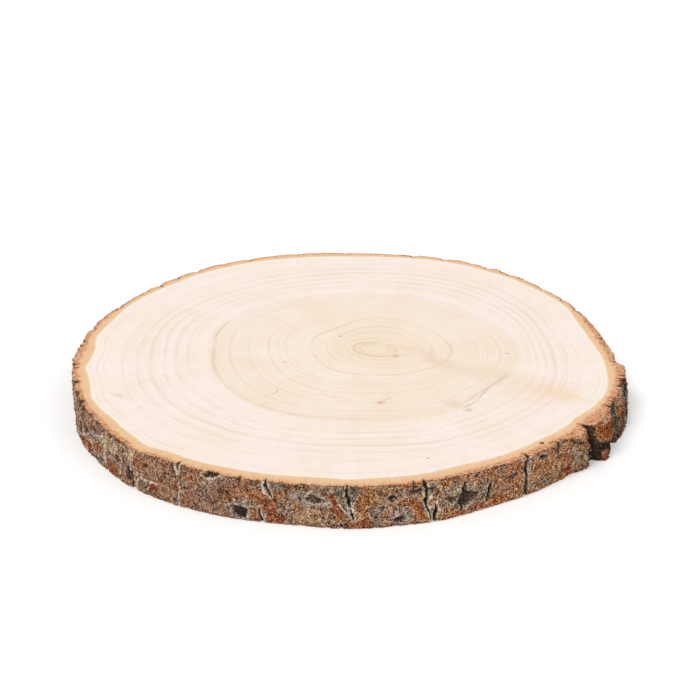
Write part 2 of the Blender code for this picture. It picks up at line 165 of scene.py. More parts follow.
# Patches of colour and their relief: (kind, strength, relief, softness, corners (angle, height)).
PATCHES = [
    ("orange", 0.9, 0.0, 0.6, [(215, 22.6), (218, 22.9), (221, 23.5), (221, 25), (215, 25)]),
    ("orange", 0.6, 0.0, 1.2, [(204.5, 18), (206, 21.5), (209.5, 19.5), (208, 17.4)]), ("lilac", 0.7, 0.2, 1.0, [(199.5, 15), (200.5, 19), (203, 16.5), (202.6, 14.4)]),
    ("cream", 0.7, 0.2, 0.9, [(203, 19.4), (204.5, 23), (207.6, 22), (206.4, 19.6)]), ("dark", 1.1, -0.7, 0.6, [(206.4, 17.4), (207.6, 18.4), (209.6, 17.6), (208.4, 16.6)]),
    ("dark", 1.1, -0.7, 0.6, [(210.4, 12.8), (211.6, 14.2), (212.8, 12.6), (211.4, 11.6)]), ("dark", 1.0, -0.7, 0.6, [(216.8, 13.2), (218.4, 14.4), (220, 12.6), (218.4, 11.6)]),
    ("lilac", 0.7, 0.1, 0.9, [(217.4, 8.6), (218.6, 11), (220.4, 9.6), (219.6, 6.6)]), ("cream", 0.6, 0.2, 0.8, [(207, 3.2), (208, 5.6), (209.6, 4.4), (208.8, 2.2)]),
    ("dark", 1.0, -0.6, 0.5, [(203.4, 12.6), (204.8, 14), (206, 12.6), (204.8, 11.6)]), ("orange", 0.7, 0.0, 0.9, [(215.6, 5.2), (217, 7.6), (219.6, 5), (218, 3.2)]),
    ("cream", 0.8, 0.2, 0.9, [(215.2, 15), (216.5, 18.5), (218.2, 19.8), (219, 18), (218.8, 15.8), (217.5, 14.2), (216, 14)]),
    ("cream", 0.6, 0.2, 0.9, [(220.8, 15.5), (220.6, 21), (221.3, 24.6), (223, 24.6), (223, 17.5), (222, 15.6)]),
    ("cream", 1.1, 0.4, 0.7, [(222.6, 15.5), (222.8, 22), (223.6, 25), (224.8, 25), (224.2, 19.5), (223.6, 16)]),
    ("rust", 1.0, 0.0, 0.8, [(223.8, 15.3), (223.8, 19), (225, 20.5), (226.2, 19), (226.8, 16), (225.5, 14.5), (224.2, 14.4)]),
    ("red", 0.8, 0.0, 0.6, [(226.4, 15.6), (226.5, 19.5), (227.3, 18.6), (227.2, 16)]),
    ("lilac", 0.6, 0.0, 1.0, [(213.6, 11), (215, 12.8), (216.5, 11), (216, 8.8), (214.5, 8.5)]),
    ("red", 0.6, 0.0, 1.2, [(213.6, 8), (213.8, 1), (218.5, 0.5), (217.5, 5), (216, 7)]),
    ("dark", 1.3, -1.2, 0.9, [(221, 8), (221.6, 11.5), (222.7, 12.5), (222.7, 6.5), (222.4, 4), (221.2, 4.5)]),
    ("lilac", 0.9, 0.2, 0.6, [(221.6, 13.2), (222.2, 15.4), (223.5, 15.6), (223.7, 13.5), (222.6, 12.3)]),
    ("cream", 0.9, 0.4, 0.7, [(223.7, 13), (224.6, 13.5), (225.3, 11), (225.2, 7), (225, 4), (224.2, 1.5), (223.8, 3), (223.6, 8)]),
    ("pit", 1.1, -1.4, 0.5, [(225.7, 3), (226, 6.3), (227.2, 7.7), (227.6, 6.6), (226.9, 4.4), (226.3, 2.5)]),
    ("red", 1.0, -0.5, 0.7, [(227.8, 4.2), (228, 7), (229.4, 7.3), (229.4, 5.5), (228.5, 4)]),
    ("lilac", 0.7, 0.0, 0.7, [(233.3, 1), (233.8, 5.5), (234.4, 6.2), (234.4, 1.5)]), ("pit", 0.9, -0.6, 0.4, [(233.4, 2.2), (233.7, 4), (234.3, 4), (234.2, 2)]),
    ("red", 0.9, 0.0, 0.8, [(233.2, 9), (233.6, 11.8), (234.6, 11), (234.6, 9)]), ("rust", 0.8, 0.0, 1.0, [(235.9, 15.5), (236, 19.5), (238.6, 19.5), (239.4, 16.5), (237.4, 15.2)]),
    ("orange", 0.9, 0.0, 0.5, [(235.2, 1.6), (235.4, 3.6), (236.6, 3.6), (236.8, 2)]), ("red", 0.5, 0.0, 1.0, [(236.4, 7), (236.6, 10), (238, 9.6), (238, 7)]),
    ("moss", 0.8, 0.0, 1.0, [(227.6, 11.8), (229, 15), (232, 15), (233.5, 13.5), (231, 12), (229.4, 11.5)]),
    ("moss", 1.0, 0.0, 0.8, [(234.5, 12), (235.3, 15.6), (237, 14.8), (238, 12.8), (236, 11.6)]),
    ("moss", 1.0, 0.0, 0.8, [(238.6, 11.5), (239.4, 14.2), (241, 14.2), (242.5, 13), (241, 11.2)]),
    ("moss", 0.5, 0.0, 1.5, [(226.5, 19), (228, 23.5), (232, 23), (231.5, 19.5)]), ("moss", 0.5, 0.0, 1.2, [(221.2, 21), (221.4, 24), (222.4, 24), (222.4, 21)]),
    ("pit", 1.2, -1.6, 0.45, [(240.3, 21.8), (241.2, 20.6), (242.3, 20.9), (243.5, 22.4), (244.4, 24.6), (241, 24.6), (241.3, 22.9)]),
    ("lilac", 0.8, 0.2, 0.6, [(240.2, 20.4), (243.2, 20.9), (243, 19.4), (240.5, 19)]),
    ("lilac", 0.8, 0.0, 0.7, [(240.1, 17), (240.9, 18.8), (242.4, 18.4), (242.1, 16.8), (240.9, 16.4)]), ("pit", 0.8, -0.4, 0.4, [(240.7, 17.3), (241.2, 18), (241.9, 17.6), (241.4, 17)]),
    ("dark", 0.5, 0.0, 1.5, [(243.6, 12), (243.8, 19), (246.3, 19.5), (246.5, 12.5)]), ("rust", 0.5, 0.0, 1.5, [(245, 21.5), (247.5, 22.5), (248, 13), (245.5, 9)]),
    ("lilac", 0.5, 0.0, 0.8, [(244.6, 20.2), (245, 23), (247, 23), (247, 20.4)]),
    ("lilac", 1.1, 0.5, 0.6, [(244.9, 6.2), (246, 9.5), (247.3, 12), (248.7, 11.6), (250.3, 9.3), (250.6, 7.4), (250.1, 5.5), (250.4, 3.5), (250.2, 1.2),
                               (248.9, 0.6), (246.6, 0.8), (245.9, 3), (245.2, 4.8)]),
    ("pit", 1.0, -2.2, 0.5, [(246.4, 7.8), (247.2, 8.4), (248.8, 8.2), (249.8, 6.6), (249.6, 4.5), (249.4, 1.2), (247.8, 1.2), (247.1, 3.5), (246.8, 6)]),
    ("pit", 1.0, -0.8, 0.35, [(249.9, 7.1), (250.3, 8.4), (250.9, 8.3), (250.6, 6.8)]),
    ("lilac", 1.0, 0.3, 0.5, [(252.6, 24.2), (252.6, 18.8), (253.1, 18.4), (253.4, 20), (253.1, 24)]),
    ("moss", 1.1, 0.1, 0.7, [(254.5, 23.6), (254.8, 19.5), (256.2, 18.4), (257.2, 20.5), (257, 23.2), (255.5, 24)]),
    ("orange", 1.4, 0.9, 0.5, [(257, 25), (257.1, 23.4), (257.8, 22.1), (259.2, 22.4), (260.3, 24.2), (260, 25)]),
    ("lilac", 1.0, 0.4, 0.6, [(258.2, 16.3), (259.3, 18.8), (260.4, 20), (261.8, 19.2), (263.2, 19.4), (265, 17.7), (266.4, 15.8), (267.3, 13.2),
                              (266.2, 12.3), (264.3, 11.4), (262.5, 11.5), (260.8, 13), (259.4, 15.2)]),
    ("pit", 0.8, -1.3, 0.5, [(261.6, 16), (262.3, 18.7), (263.6, 18.4), (265.2, 16.8), (266.2, 15.3), (265.2, 14.1), (263.5, 14.2), (262.1, 14.8)]),
    ("pit", 0.6, -0.4, 0.5, [(259.8, 18.6), (260.8, 19.2), (260.9, 15), (260.2, 14.4)]),
    ("rust", 0.6, 0.0, 1.6, [(250.3, 23.5), (250, 20), (252, 16), (254, 13), (256.3, 13.5), (256, 7), (255, 6), (253, 9), (250.3, 12), (249.2, 17), (249, 21)]),
    ("rust", 1.0, 0.0, 0.9, [(252.8, 15.5), (254, 13.5), (255.2, 11), (255.8, 7.5), (254.6, 6.6), (253, 8.5), (252, 11), (252.3, 14)]),
    ("cream", 0.9, 0.2, 0.6, [(252.9, 8), (253.5, 6.5), (253.8, 3.5), (253.4, 0.8), (253, 3), (252.7, 5.5)]),
    ("orange", 1.0, 0.0, 0.6, [(250.8, 6.8), (251.9, 6.6), (252.1, 1), (250.7, 1)]), ("rust", 1.0, 0.0, 0.8, [(253.9, 5), (255, 6.5), (257.3, 5.5), (257.4, 1), (254, 1)]),
    ("moss", 0.9, 0.0, 0.7, [(254.8, 6.6), (256, 8.2), (257.2, 6.6), (256, 5.3)]), ("moss", 0.9, 0.0, 0.8, [(257.5, 4), (258.7, 4.6), (259.6, 0.5), (258, 0.5)]),
    ("cream", 0.35, 0.0, 2.0, [(258, 3), (258, 10), (262, 11), (268, 8), (268, 3), (263, 2)]),
    ("moss", 1.2, -0.2, 0.6, [(267.2, 24.6), (267.5, 19), (268.2, 15), (269.1, 11.5), (270, 8.8), (270.6, 7.6), (271, 12), (271.3, 15), (272, 18), (272.5, 22), (272.3, 24.6)]),
    ("cream", 1.2, 0.4, 0.5, [(271, 10.5), (271.6, 9.6), (272, 7), (271.5, 4.3), (271.3, 5.5), (271.2, 8)]), ("pale", 1.0, 0.5, 0.4, [(269.8, 12), (270, 10.6), (270.9, 10.8), (270.8, 12.4)]),
    ("rust", 1.1, 0.0, 0.8, [(266.5, 17.5), (267.3, 17), (268.9, 11.5), (269.7, 9), (269.9, 7), (268.8, 6), (267.5, 7.3), (266.3, 10), (266.5, 13)]),
    ("orange", 1.2, 0.2, 0.5, [(268.3, 8.3), (269.3, 8.2), (269.7, 6.4), (268.8, 5.4)]),
    ("moss", 0.9, -0.3, 0.6, [(267.8, 0.5), (268, 2.6), (268.7, 3.8), (269.3, 2.6), (269.2, 0.5)]),
    ("orange", 0.9, 0.1, 0.9, [(272, 17.5), (273.5, 18.5), (274.2, 14), (274, 9), (273.2, 5), (272.3, 4.5), (272.3, 9), (272.1, 13)]),
    ("rust", 0.9, 0.0, 0.8, [(269.4, 4.3), (274, 4.5), (274.3, 1), (269.4, 1)]), ("moss", 0.7, 0.0, 0.9, [(274, 13.5), (275.5, 13.5), (276, 5), (275, 4.5), (274.1, 7.5)]),
    ("lilac", 0.7, 0.3, 0.6, [(277.4, 16.8), (278.2, 19.5), (279.3, 19.3), (280.3, 17.6), (281, 16), (279.8, 14.6), (278.8, 13), (277.8, 14.8)]),
    ("pit", 1.0, -1.6, 0.4, [(277.8, 16.4), (278.4, 18.8), (279.4, 18.6), (279.9, 17), (279.8, 15.2), (278.9, 14.9), (278.2, 15.2)]), ("pit", 0.9, -0.6, 0.3, [(280.3, 16.5), (280.6, 17.1), (280.9, 16.5), (280.5, 16)]),
    ("moss", 0.9, 0.1, 0.6, [(275.2, 11), (276, 12.6), (277.5, 12.8), (278.1, 11), (277.2, 9), (275.9, 9.2)]), ("pit", 0.9, -0.9, 0.45, [(276, 11.4), (277.2, 12.3), (277.8, 11.2), (276.8, 10)]),
    ("lilac", 0.9, 0.1, 0.7, [(278.3, 10.5), (279.4, 11.8), (281, 11.6), (282.6, 10.9), (281.6, 9.6), (279, 9.4)]),
    ("lilac", 1.1, 0.4, 0.6, [(277.9, 5.5), (278.7, 8.2), (280, 9.2), (281.8, 8.8), (283.1, 6.5), (283.3, 3.5), (281.8, 1.5), (279.8, 1.2), (278.4, 2.6)]),
    ("pit", 0.95, -1.5, 0.45, [(279.1, 4.8), (279.9, 6.2), (281.2, 6.2), (281.9, 4.8), (281.2, 2.9), (280, 2.6), (279.4, 3.4)]),
    ("moss", 0.8, 0.0, 0.7, [(275, 5), (276.2, 5.4), (277.2, 3), (276.4, 0.8), (274.8, 1.2)]),
    ("orange", 1.0, 0.1, 0.9, [(281.5, 14.5), (283.2, 14.5), (284.6, 12.5), (285.2, 9), (285.9, 5), (286.2, 1.5), (284.5, 1.5), (283.6, 5), (283.4, 8), (282.8, 10), (281.8, 12)]),
    ("orange", 0.8, 0.0, 0.7, [(277.5, 9), (278.6, 8), (277.6, 6), (276.2, 6.6)]), ("orange", 0.7, 0.0, 0.9, [(276.4, 16), (277.4, 13.2), (279.4, 13), (281.2, 14.2), (281, 12.2), (278, 12.8), (276.2, 13.8)]),
    ("orange", 0.9, 0.1, 0.6, [(282, 24), (282.7, 24), (282.8, 21.5), (282.1, 21)]), ("orange", 0.9, 0.1, 0.5, [(283.6, 24), (284.7, 24), (284.6, 21), (283.7, 20.8)]),
    ("moss", 1.2, -0.3, 0.7, [(281.2, 19.5), (282.2, 21.4), (283.6, 20.8), (285, 21), (287.7, 20.8), (287.7, 18.8), (286.4, 18), (285, 16.4), (283.6, 17), (282.2, 18)]),
    ("dark", 1.2, -0.4, 0.6, [(282, 19), (282.8, 20.4), (285, 20), (287.3, 20.2), (287.2, 19), (285, 17.6), (283.4, 18)]),
    ("pale", 1.2, 0.6, 0.4, [(284.7, 18.8), (285.1, 19.4), (285.5, 16.4), (285.3, 15)]), ("lilac", 1.0, 0.3, 0.5, [(284.5, 13), (285.1, 11.4), (285.6, 9.2), (286.1, 6), (286.5, 2.6), (285.9, 4.5), (285.4, 7.6), (284.9, 10)]),
    ("pale", 1.4, 0.6, 0.35, [(286.5, 15), (286.9, 15.4), (287.1, 13.9), (286.6, 13.5)]), ("moss", 0.9, 0.0, 0.6, [(286.5, 14.2), (286.4, 19.5), (287.1, 20), (287.8, 16.5), (287.3, 13.8)]),
    ("cream", 0.9, 0.3, 0.6, [(288.4, 7.5), (288.9, 6), (288.6, 3.5), (288.1, 0.8), (288, 3), (288.2, 5.5)]),
    ("moss", 0.85, 0.2, 1.4, [(289.2, 18.5), (291.5, 19.8), (293.5, 20.8), (295.5, 18.6), (298, 13.8), (299.5, 10), (298.8, 6.3), (296, 4.3), (294, 3.2), (291.5, 6.3), (289, 8.3), (288.5, 12), (289, 15)]),
    ("dark", 1.0, -0.4, 0.6, [(290.1, 11.5), (290.6, 13.2), (291.8, 12), (292, 10), (291, 9.6)]),
    ("pit", 1.2, -1.2, 0.4, [(294, 14.8), (295.5, 13.9), (297.2, 12.2), (297, 10), (295.8, 8.6), (294.8, 6.3), (294.1, 4.4), (293.8, 9)]),
    ("cream", 0.8, 0.3, 0.6, [(293.9, 5.2), (295.5, 7.6), (296.6, 6.8), (295.2, 4.2), (294, 3.4)]), ("cream", 0.4, 0.0, 1.2, [(289.5, 15.5), (291.5, 18.5), (293.4, 18), (292.4, 14)]),
    ("moss", 0.7, 0.1, 0.9, [(299.2, 18.2), (300.4, 17.8), (300.7, 14.5), (302.2, 12.7), (302, 9.8), (300.4, 8.6), (300.3, 5), (299, 5), (298.3, 10), (298.3, 13.5)]),
    ("rust", 0.7, 0.0, 1.2, [(289, 2.4), (293, 3.6), (297, 4.4), (301, 5), (305, 6), (305, 1.2), (289, 0.8)]), ("rust", 0.5, 0.0, 1.5, [(296.5, 24), (300.5, 24), (301, 19), (297, 18)]),
    ("pit", 1.1, -1.0, 0.4, [(304.3, 15.8), (305, 17), (306, 16.8), (306.5, 15.6), (305.7, 14.4), (304.7, 14.4)]),
    ("pale", 0.9, 0.3, 0.4, [(306.1, 7.2), (306.8, 7), (307.3, 5.8), (306.6, 6)]), ("dark", 0.8, -0.3, 0.5, [(305.4, 7.6), (306.2, 7.9), (307.6, 6.2), (307.3, 5.2), (306.2, 6.2)]),
    ("orange", 0.8, 0.0, 1.0, [(306.2, 13.5), (307.8, 13.5), (307.9, 9.5), (306.5, 9)]), ("orange", 0.7, 0.0, 0.8, [(309.8, 13.5), (310.6, 13.5), (310.5, 9.5), (309.9, 9.5)]),
    ("pit", 1.1, -1.2, 0.4, [(311.8, 20.7), (312.6, 21.6), (313.8, 21.1), (314.7, 19.8), (313.9, 18.6), (312.7, 18.9)]),
    ("moss", 0.6, 0.0, 1.4, [(310.5, 8), (312, 9), (315, 7.5), (317.5, 6), (317, 1.5), (312, 1)]), ("orange", 0.8, 0.0, 0.7, [(317.2, 5.5), (318.3, 5.6), (318.9, 2.5), (318, 1.5)]),
    ("dark", 0.8, 0.0, 0.8, [(318, 24.2), (320, 24.3), (320, 22.6), (318.4, 21.8)]), ("rust", 0.7, 0.0, 1.2, [(318.5, 14), (321, 14.5), (321.5, 9.5), (319, 8.5)]),
    ("red", 0.7, 0.0, 0.9, [(319.3, 6), (321, 7.8), (322.5, 5.5), (321, 3.3), (319.5, 3.6)]), ("dark", 0.7, -0.5, 0.6, [(320.2, 5), (321.3, 6.6), (322.2, 5.6), (321.2, 4)]),
    ("lilac", 0.5, 0.0, 1.6, [(319.6, 17), (322, 19), (324, 16), (323.2, 12.5), (321, 14)]), ("moss", 0.7, 0.2, 1.6, [(322.5, 15), (326, 13), (328, 7), (327.8, 1.5), (324, 2), (322, 8)]),
    ("dark", 0.9, -0.5, 0.7, [(321.3, 22.2), (322.5, 21), (325, 18), (326.6, 14.5), (325.6, 15.5), (323, 18.4), (321.5, 20)]),
    ("cut", 1.0, 0.2, 0.6, [(320.4, 25), (326.7, 25), (326.9, 21.5), (325.2, 20.6), (322.8, 21.6)]), ("red", 0.8, 0.2, 0.7, [(325, 20), (326.6, 20.6), (328, 14.6), (328.3, 10), (327.2, 12), (326.2, 16.5)]),
    ("orange", 0.9, 0.3, 0.5, [(327.6, 12.5), (328.3, 12), (328.5, 7.5), (327.9, 7.5)]),
    ("black", 1.1, -1.4, 0.9, [(328.2, 15), (328.3, -1), (330.7, -1), (330.5, 9), (329.6, 14)]),
    ("black", 0.9, -1.4, 1.0, [(329.5, 14), (331, 11.2), (334, 8.6), (337, 5.2), (338.6, 2.6), (338.6, -1), (333.4, -1), (333.2, 4.6), (330.8, 6.5)]),
    ("red", 1.2, 1.4, 0.9, [(330.7, -1), (330.9, 4.6), (333.2, 4.2), (333.6, -1)]),
    ("cut", 1.0, 0.3, 0.7, [(328.8, 25), (336.8, 25), (336.9, 21.6), (334.5, 19.8), (331, 21.5)]), ("orange", 1.1, 0.9, 0.9, [(328.9, 23), (331, 22), (336.8, 20.6), (337, 12.5), (336.8, 8), (334, 9.4), (331.2, 12), (329.8, 15), (329, 19)]),
    ("red", 0.6, 0.0, 1.4, [(329.6, 20.5), (336.8, 20), (336.6, 10), (334, 10.4), (331, 14)]), ("red", 0.45, 0.2, 0.8, [(330.2, 20), (331.6, 20.5), (333.4, 17), (335, 12), (333, 12), (330.6, 15.4)]), ("red", 0.6, 0.1, 0.7, [(334.6, 19), (336.4, 19.4), (336.8, 12), (335.8, 10)]),
    ("dark", 1.3, 0.0, 1.2, [(336.9, 23.5), (339.6, 24.2), (341.4, 20), (341.8, 13), (343.4, 9), (343, 0), (336.5, 0), (336.4, 8), (337.4, 14)]),
    ("moss", 0.4, 0.3, 1.0, [(338.2, 17), (340.8, 21), (342, 18), (341, 15)]), ("cut", 0.5, 0.4, 1.0, [(341.2, 24.5), (346.2, 24.5), (346.4, 19), (344.6, 15.5), (342.6, 19)]),
    ("red", 0.7, 0.3, 1.2, [(342.5, 15), (346.2, 15), (346.5, 3), (343.5, 3)]), ("dark", 1.0, -0.4, 1.4, [(344.2, 12), (346.6, 12), (347, 0), (344, 0)]),
    ("dark", 1.1, 0.0, 1.2, [(346.3, 25), (350.2, 25), (351.5, 12), (352, -1), (348, -1), (347.4, 12)]), ("cut", 0.8, 0.3, 1.0, [(350.4, 25), (353.4, 25), (355, 12), (354.4, 4), (352, 8)]),
    ("red", 0.8, 0.2, 1.2, [(353.6, 25), (357.6, 25), (359.2, 10), (358, 3), (355.6, 8)]), ("orange", 0.6, 0.0, 1.4, [(359, 22), (362, 22), (362, 8), (360, 8)]),
    ("pit", 1.1, -1.0, 0.6, [(199.6, 8), (200.2, 13.6), (201.4, 14.2), (202, 10.5), (203.2, 9), (202, 7.2), (200.4, 6.4)]), ("lilac", 0.9, 0.3, 0.6, [(202.6, 8.2), (203.4, 10.4), (205.4, 10.8), (205.2, 9.2), (204, 7.6)]),
    ("lilac", 1.0, 0.3, 0.9, [(206.6, 12.6), (206.9, 16), (208.8, 17), (210.4, 15.4), (210, 12.6), (208, 12)]), ("pit", 1.0, -1.2, 0.5, [(205.8, 14.6), (206.3, 16.2), (207.4, 16.4), (207, 14.6), (206.2, 13.8)]),
    ("cream", 1.0, 0.3, 0.8, [(209.6, 15), (210.6, 18.8), (212.4, 20), (213.6, 17.4), (212.8, 14.4), (211.2, 13.4)]),
    ("cream", 1.1, 0.4, 0.6, [(213, 12), (213.4, 16), (213.5, 20.5), (214.6, 23), (215.4, 21), (215, 15), (214.4, 11), (213.6, 10)]),
    ("cream", 0.6, 0.1, 0.9, [(205.6, 8), (206.4, 11), (208.4, 11.4), (208.6, 8.6), (207, 7.2)]), ("rust", 0.8, 0.0, 1.0, [(208.2, 7), (210, 10.6), (213, 11), (213.4, 9), (211, 8.4), (209.6, 6)]),
    ("lilac", 0.9, 0.3, 0.6, [(209.6, 4.6), (210.2, 7), (211.6, 8.2), (213.1, 7), (213.4, 4.4), (212.4, 2.6), (210.8, 2.4)]), ("pit", 1.1, -1.5, 0.45, [(210.5, 4.4), (211, 6), (212.3, 6.2), (212.8, 4.8), (212.2, 3.8), (211.2, 3.4)]),
    ("orange", 0.9, 0.0, 0.8, [(212.6, 1.2), (213.8, 3.2), (216, 2.6), (216, 0.8)]), ("rust", 0.9, 0.0, 0.8, [(200.5, 17.5), (202.4, 19.4), (203, 16.5), (202, 15)]),
    ("red", 0.8, 0.0, 0.9, [(199.4, 5.5), (201, 6.2), (204.6, 7), (206.6, 8.4), (206.6, 2.5), (203.4, 3.4), (200, 2)]), ("orange", 0.8, 0.0, 0.6, [(199, 25), (206, 25), (206, 23.4), (201, 22.6)]),
    ("lilac", 0.6, 0.0, 1.0, [(207, 21), (209, 23.5), (212, 22.5), (211, 20)]), ("lilac", 0.7, 0.0, 1.6, [(185, 14), (185, 22), (197, 20), (198, 15), (193, 10)]), ("rust", 0.8, 0.0, 1.2, [(186, 8), (193, 9), (197, 12), (197, 8), (190, 5)]),
    ("dark", 1.2, -1.0, 0.8, [(190.6, 25.5), (192, 25.5), (191.8, 20), (191.2, 18)]), ("dark", 1.1, -0.9, 0.8, [(199.4, 25.5), (201, 25.5), (200.6, 21), (199.8, 21)]), ("dark", 1.0, -0.8, 0.8, [(186.8, 22), (188.6, 23), (188.4, 17), (187, 16)]),
    ("dark", 1.0, -0.8, 0.9, [(192.6, 10), (195.4, 12), (196, 6), (193.4, 4)]),
]

# Growth rings: distance in millimetres from the pith every 15 degrees, counter-clockwise from +X.
# The first two follow the oval heart of the first years.
PITH = (15.0, 9.0)
RING_CURVES = [
    (0.085, [11.4, 10.7, 10.0, 9.6, 9.4, 9.6, 10.1, 10.9, 12.0, 13.1, 13.6, 13.0, 11.5, 10.0, 8.9, 8.1, 7.7, 7.7, 7.9, 8.5, 9.3, 10.4, 11.3, 11.7]),
    (0.270, [42.5, 41.7, 41.2, 41.0, 41.5, 42.0, 42.3, 40.4, 37.0, 36.4, 38.0, 37.3, 35.3, 34.3, 34.0, 33.3, 32.0, 30.5, 30.0, 31.3, 33.5, 35.2, 38.5, 41.0]),
    (0.500, [68.0, 66.0, 65.0, 64.5, 65.0, 65.2, 65.2, 67.0, 70.0, 74.5, 80.0, 81.0, 79.3, 79.3, 79.6, 79.2, 77.0, 73.0, 71.5, 71.0, 69.5, 66.5, 66.5, 68.0]),
    (0.560, [77.8, 75.5, 73.7, 72.6, 73.0, 73.8, 73.8, 76.0, 79.5, 84.0, 89.0, 90.6, 89.2, 89.9, 90.7, 90.0, 87.3, 83.0, 81.0, 80.5, 79.0, 75.2, 75.4, 77.8]),
    (0.680, [87.8, 87.8, 89.5, 91.0, 92.3, 92.5, 92.0, 93.8, 97.0, 102.0, 107.5, 110.4, 109.6, 110.1, 108.7, 106.7, 103.8, 99.4, 96.0, 96.2, 94.3, 92.7, 92.4, 90.0]),
    (0.720, [92.0, 91.8, 93.8, 95.5, 97.6, 98.4, 97.6, 99.2, 102.2, 106.3, 112.0, 116.5, 115.2, 117.2, 117.0, 113.6, 110.2, 106.4, 102.2, 102.0, 100.4, 98.5, 98.6, 95.0]),
    (0.775, [96.0, 95.7, 98.2, 99.9, 102.8, 103.9, 103.8, 105.4, 108.4, 112.4, 117.8, 121.8, 122.5, 124.0, 124.5, 121.6, 117.0, 112.6, 109.5, 109.8, 107.0, 105.0, 103.4, 99.6]),
    (0.830, [103.6, 102.2, 105.0, 107.5, 109.8, 110.9, 111.0, 112.8, 115.6, 119.6, 124.5, 128.0, 130.2, 131.8, 133.1, 131.0, 126.2, 120.8, 117.5, 116.4, 113.2, 111.0, 109.8, 107.0]),
]
# Edge of the darker heartwood, which wanders across the rings.
HEARTWOOD = [78.0, 75.2, 71.2, 69.0, 70.2, 72.3, 72.8, 74.5, 77.5, 80.5, 85.6, 90.4, 89.6, 90.0, 90.8, 91.2, 91.4, 88.6, 86.0, 85.6, 83.8, 77.5, 75.6, 78.4]
# Share of the bark's thickness that is coarse brown cork, every 30 degrees.
CORK = [0.58, 0.36, 0.34, 0.34, 0.36, 0.40, 0.48, 0.42, 0.24, 0.16, 0.40, 0.66]


# =================================================================================
# Noise and small helpers
# =================================================================================
def lattice(ix, iy, iz, seed):
    """Repeatable pseudo-random numbers from 0 to 1 at whole-number places."""
    with np.errstate(over="ignore"):
        n = (ix.astype(np.uint32) * np.uint32(73856093)) ^ (iy.astype(np.uint32) * np.uint32(19349663)) \
            ^ (iz.astype(np.uint32) * np.uint32(83492791)) ^ np.uint32((seed * 2654435761) & 0xFFFFFFFF)
        n = (n ^ (n >> np.uint32(15))) * np.uint32(2246822519)
        n = (n ^ (n >> np.uint32(13))) * np.uint32(3266489917)
        n = n ^ (n >> np.uint32(16))
    return n.astype(np.float64) / 4294967295.0


def smooth_noise(p, seed):
    """Gradient noise at the points p, about -1 to 1."""
    base = np.floor(p).astype(np.int64)
    f = p - base
    u = f * f * f * (f * (f * 6 - 15) + 10)
    total = np.zeros(len(p))
    for dx in (0, 1):
        for dy in (0, 1):
            for dz in (0, 1):
                ix, iy, iz = base[:, 0] + dx, base[:, 1] + dy, base[:, 2] + dz
                g = (lattice(ix, iy, iz, seed) * 2 - 1) * (f[:, 0] - dx) \
                    + (lattice(ix, iy, iz, seed + 101) * 2 - 1) * (f[:, 1] - dy) \
                    + (lattice(ix, iy, iz, seed + 211) * 2 - 1) * (f[:, 2] - dz)
                w = (u[:, 0] if dx else 1 - u[:, 0]) * (u[:, 1] if dy else 1 - u[:, 1]) * (u[:, 2] if dz else 1 - u[:, 2])
                total += g * w
    return total * 1.6


def layered(p, octaves, seed, gain=0.5):
    total, amount, size = np.zeros(len(p)), 1.0, 1.0
    norm = 0.0
    for k in range(octaves):
        total += amount * smooth_noise(p * size, seed + 17 * k)
        norm += amount
        amount *= gain
        size *= 2.03
    return total / norm


def cells(p, seed):
    """Distances to the nearest and second nearest of scattered points."""
    base = np.floor(p).astype(np.int64)
    first = np.full(len(p), 9.0)
    second = np.full(len(p), 9.0)
    for dx in (-1, 0, 1):
        for dy in (-1, 0, 1):
            for dz in (-1, 0, 1):
                ix, iy, iz = base[:, 0] + dx, base[:, 1] + dy, base[:, 2] + dz
                q = np.stack([ix + lattice(ix, iy, iz, seed), iy + lattice(ix, iy, iz, seed + 7),
                              iz + lattice(ix, iy, iz, seed + 13)], 1)
                d = np.sqrt(((p - q) ** 2).sum(1))
                second = np.minimum(second, np.maximum(first, d))
                first = np.minimum(first, d)
    return first, second


def ramp01(x, a, b):
    """Smooth rise from 0 at a to 1 at b."""
    t = np.clip((x - a) / (b - a), 0.0, 1.0)
    return t * t * (3 - 2 * t)


def closed_spline(values, where):
    """Smooth closed curve through evenly spaced values, at places given in steps."""
    v = np.asarray(values, float)
    n = len(v)
    i = np.floor(where).astype(int)
    t = where - i
    a, b, c, d = (v[(i + k) % n] for k in (-1, 0, 1, 2))
    return 0.5 * (2 * b + (c - a) * t + (2 * a - 5 * b + 4 * c - d) * t * t + (3 * b - a - 3 * c + d) * t ** 3)


def gap(a, b):
    """Signed difference of two angles, -180 to 180 degrees."""
    return (a - b + 180.0) % 360.0 - 180.0


def srgb(r, g, b):
    """Linear colour from 0 to 255 display values."""
    def one(c):
        c /= 255.0
        return c / 12.92 if c <= 0.04045 else ((c + 0.055) / 1.055) ** 2.4
    return (one(r), one(g), one(b), 1.0)


# =================================================================================
# Bark: relief and colour masks over angle and height
# =================================================================================
rng = np.random.default_rng(41)

# The far side of the bark gets eyes, cracks and patches of the same kinds and sizes,
# from a seeded generator.
def blob(angle, height, half, tall, corners=9, rough=0.3):
    turn = np.arange(corners) * 2 * math.pi / corners
    reach = 1 + rng.uniform(-rough, rough, corners)
    return [(float(angle + half * k * math.cos(t) / MM_PER_DEGREE), float(height + tall * k * math.sin(t))) for t, k in zip(turn, reach)]


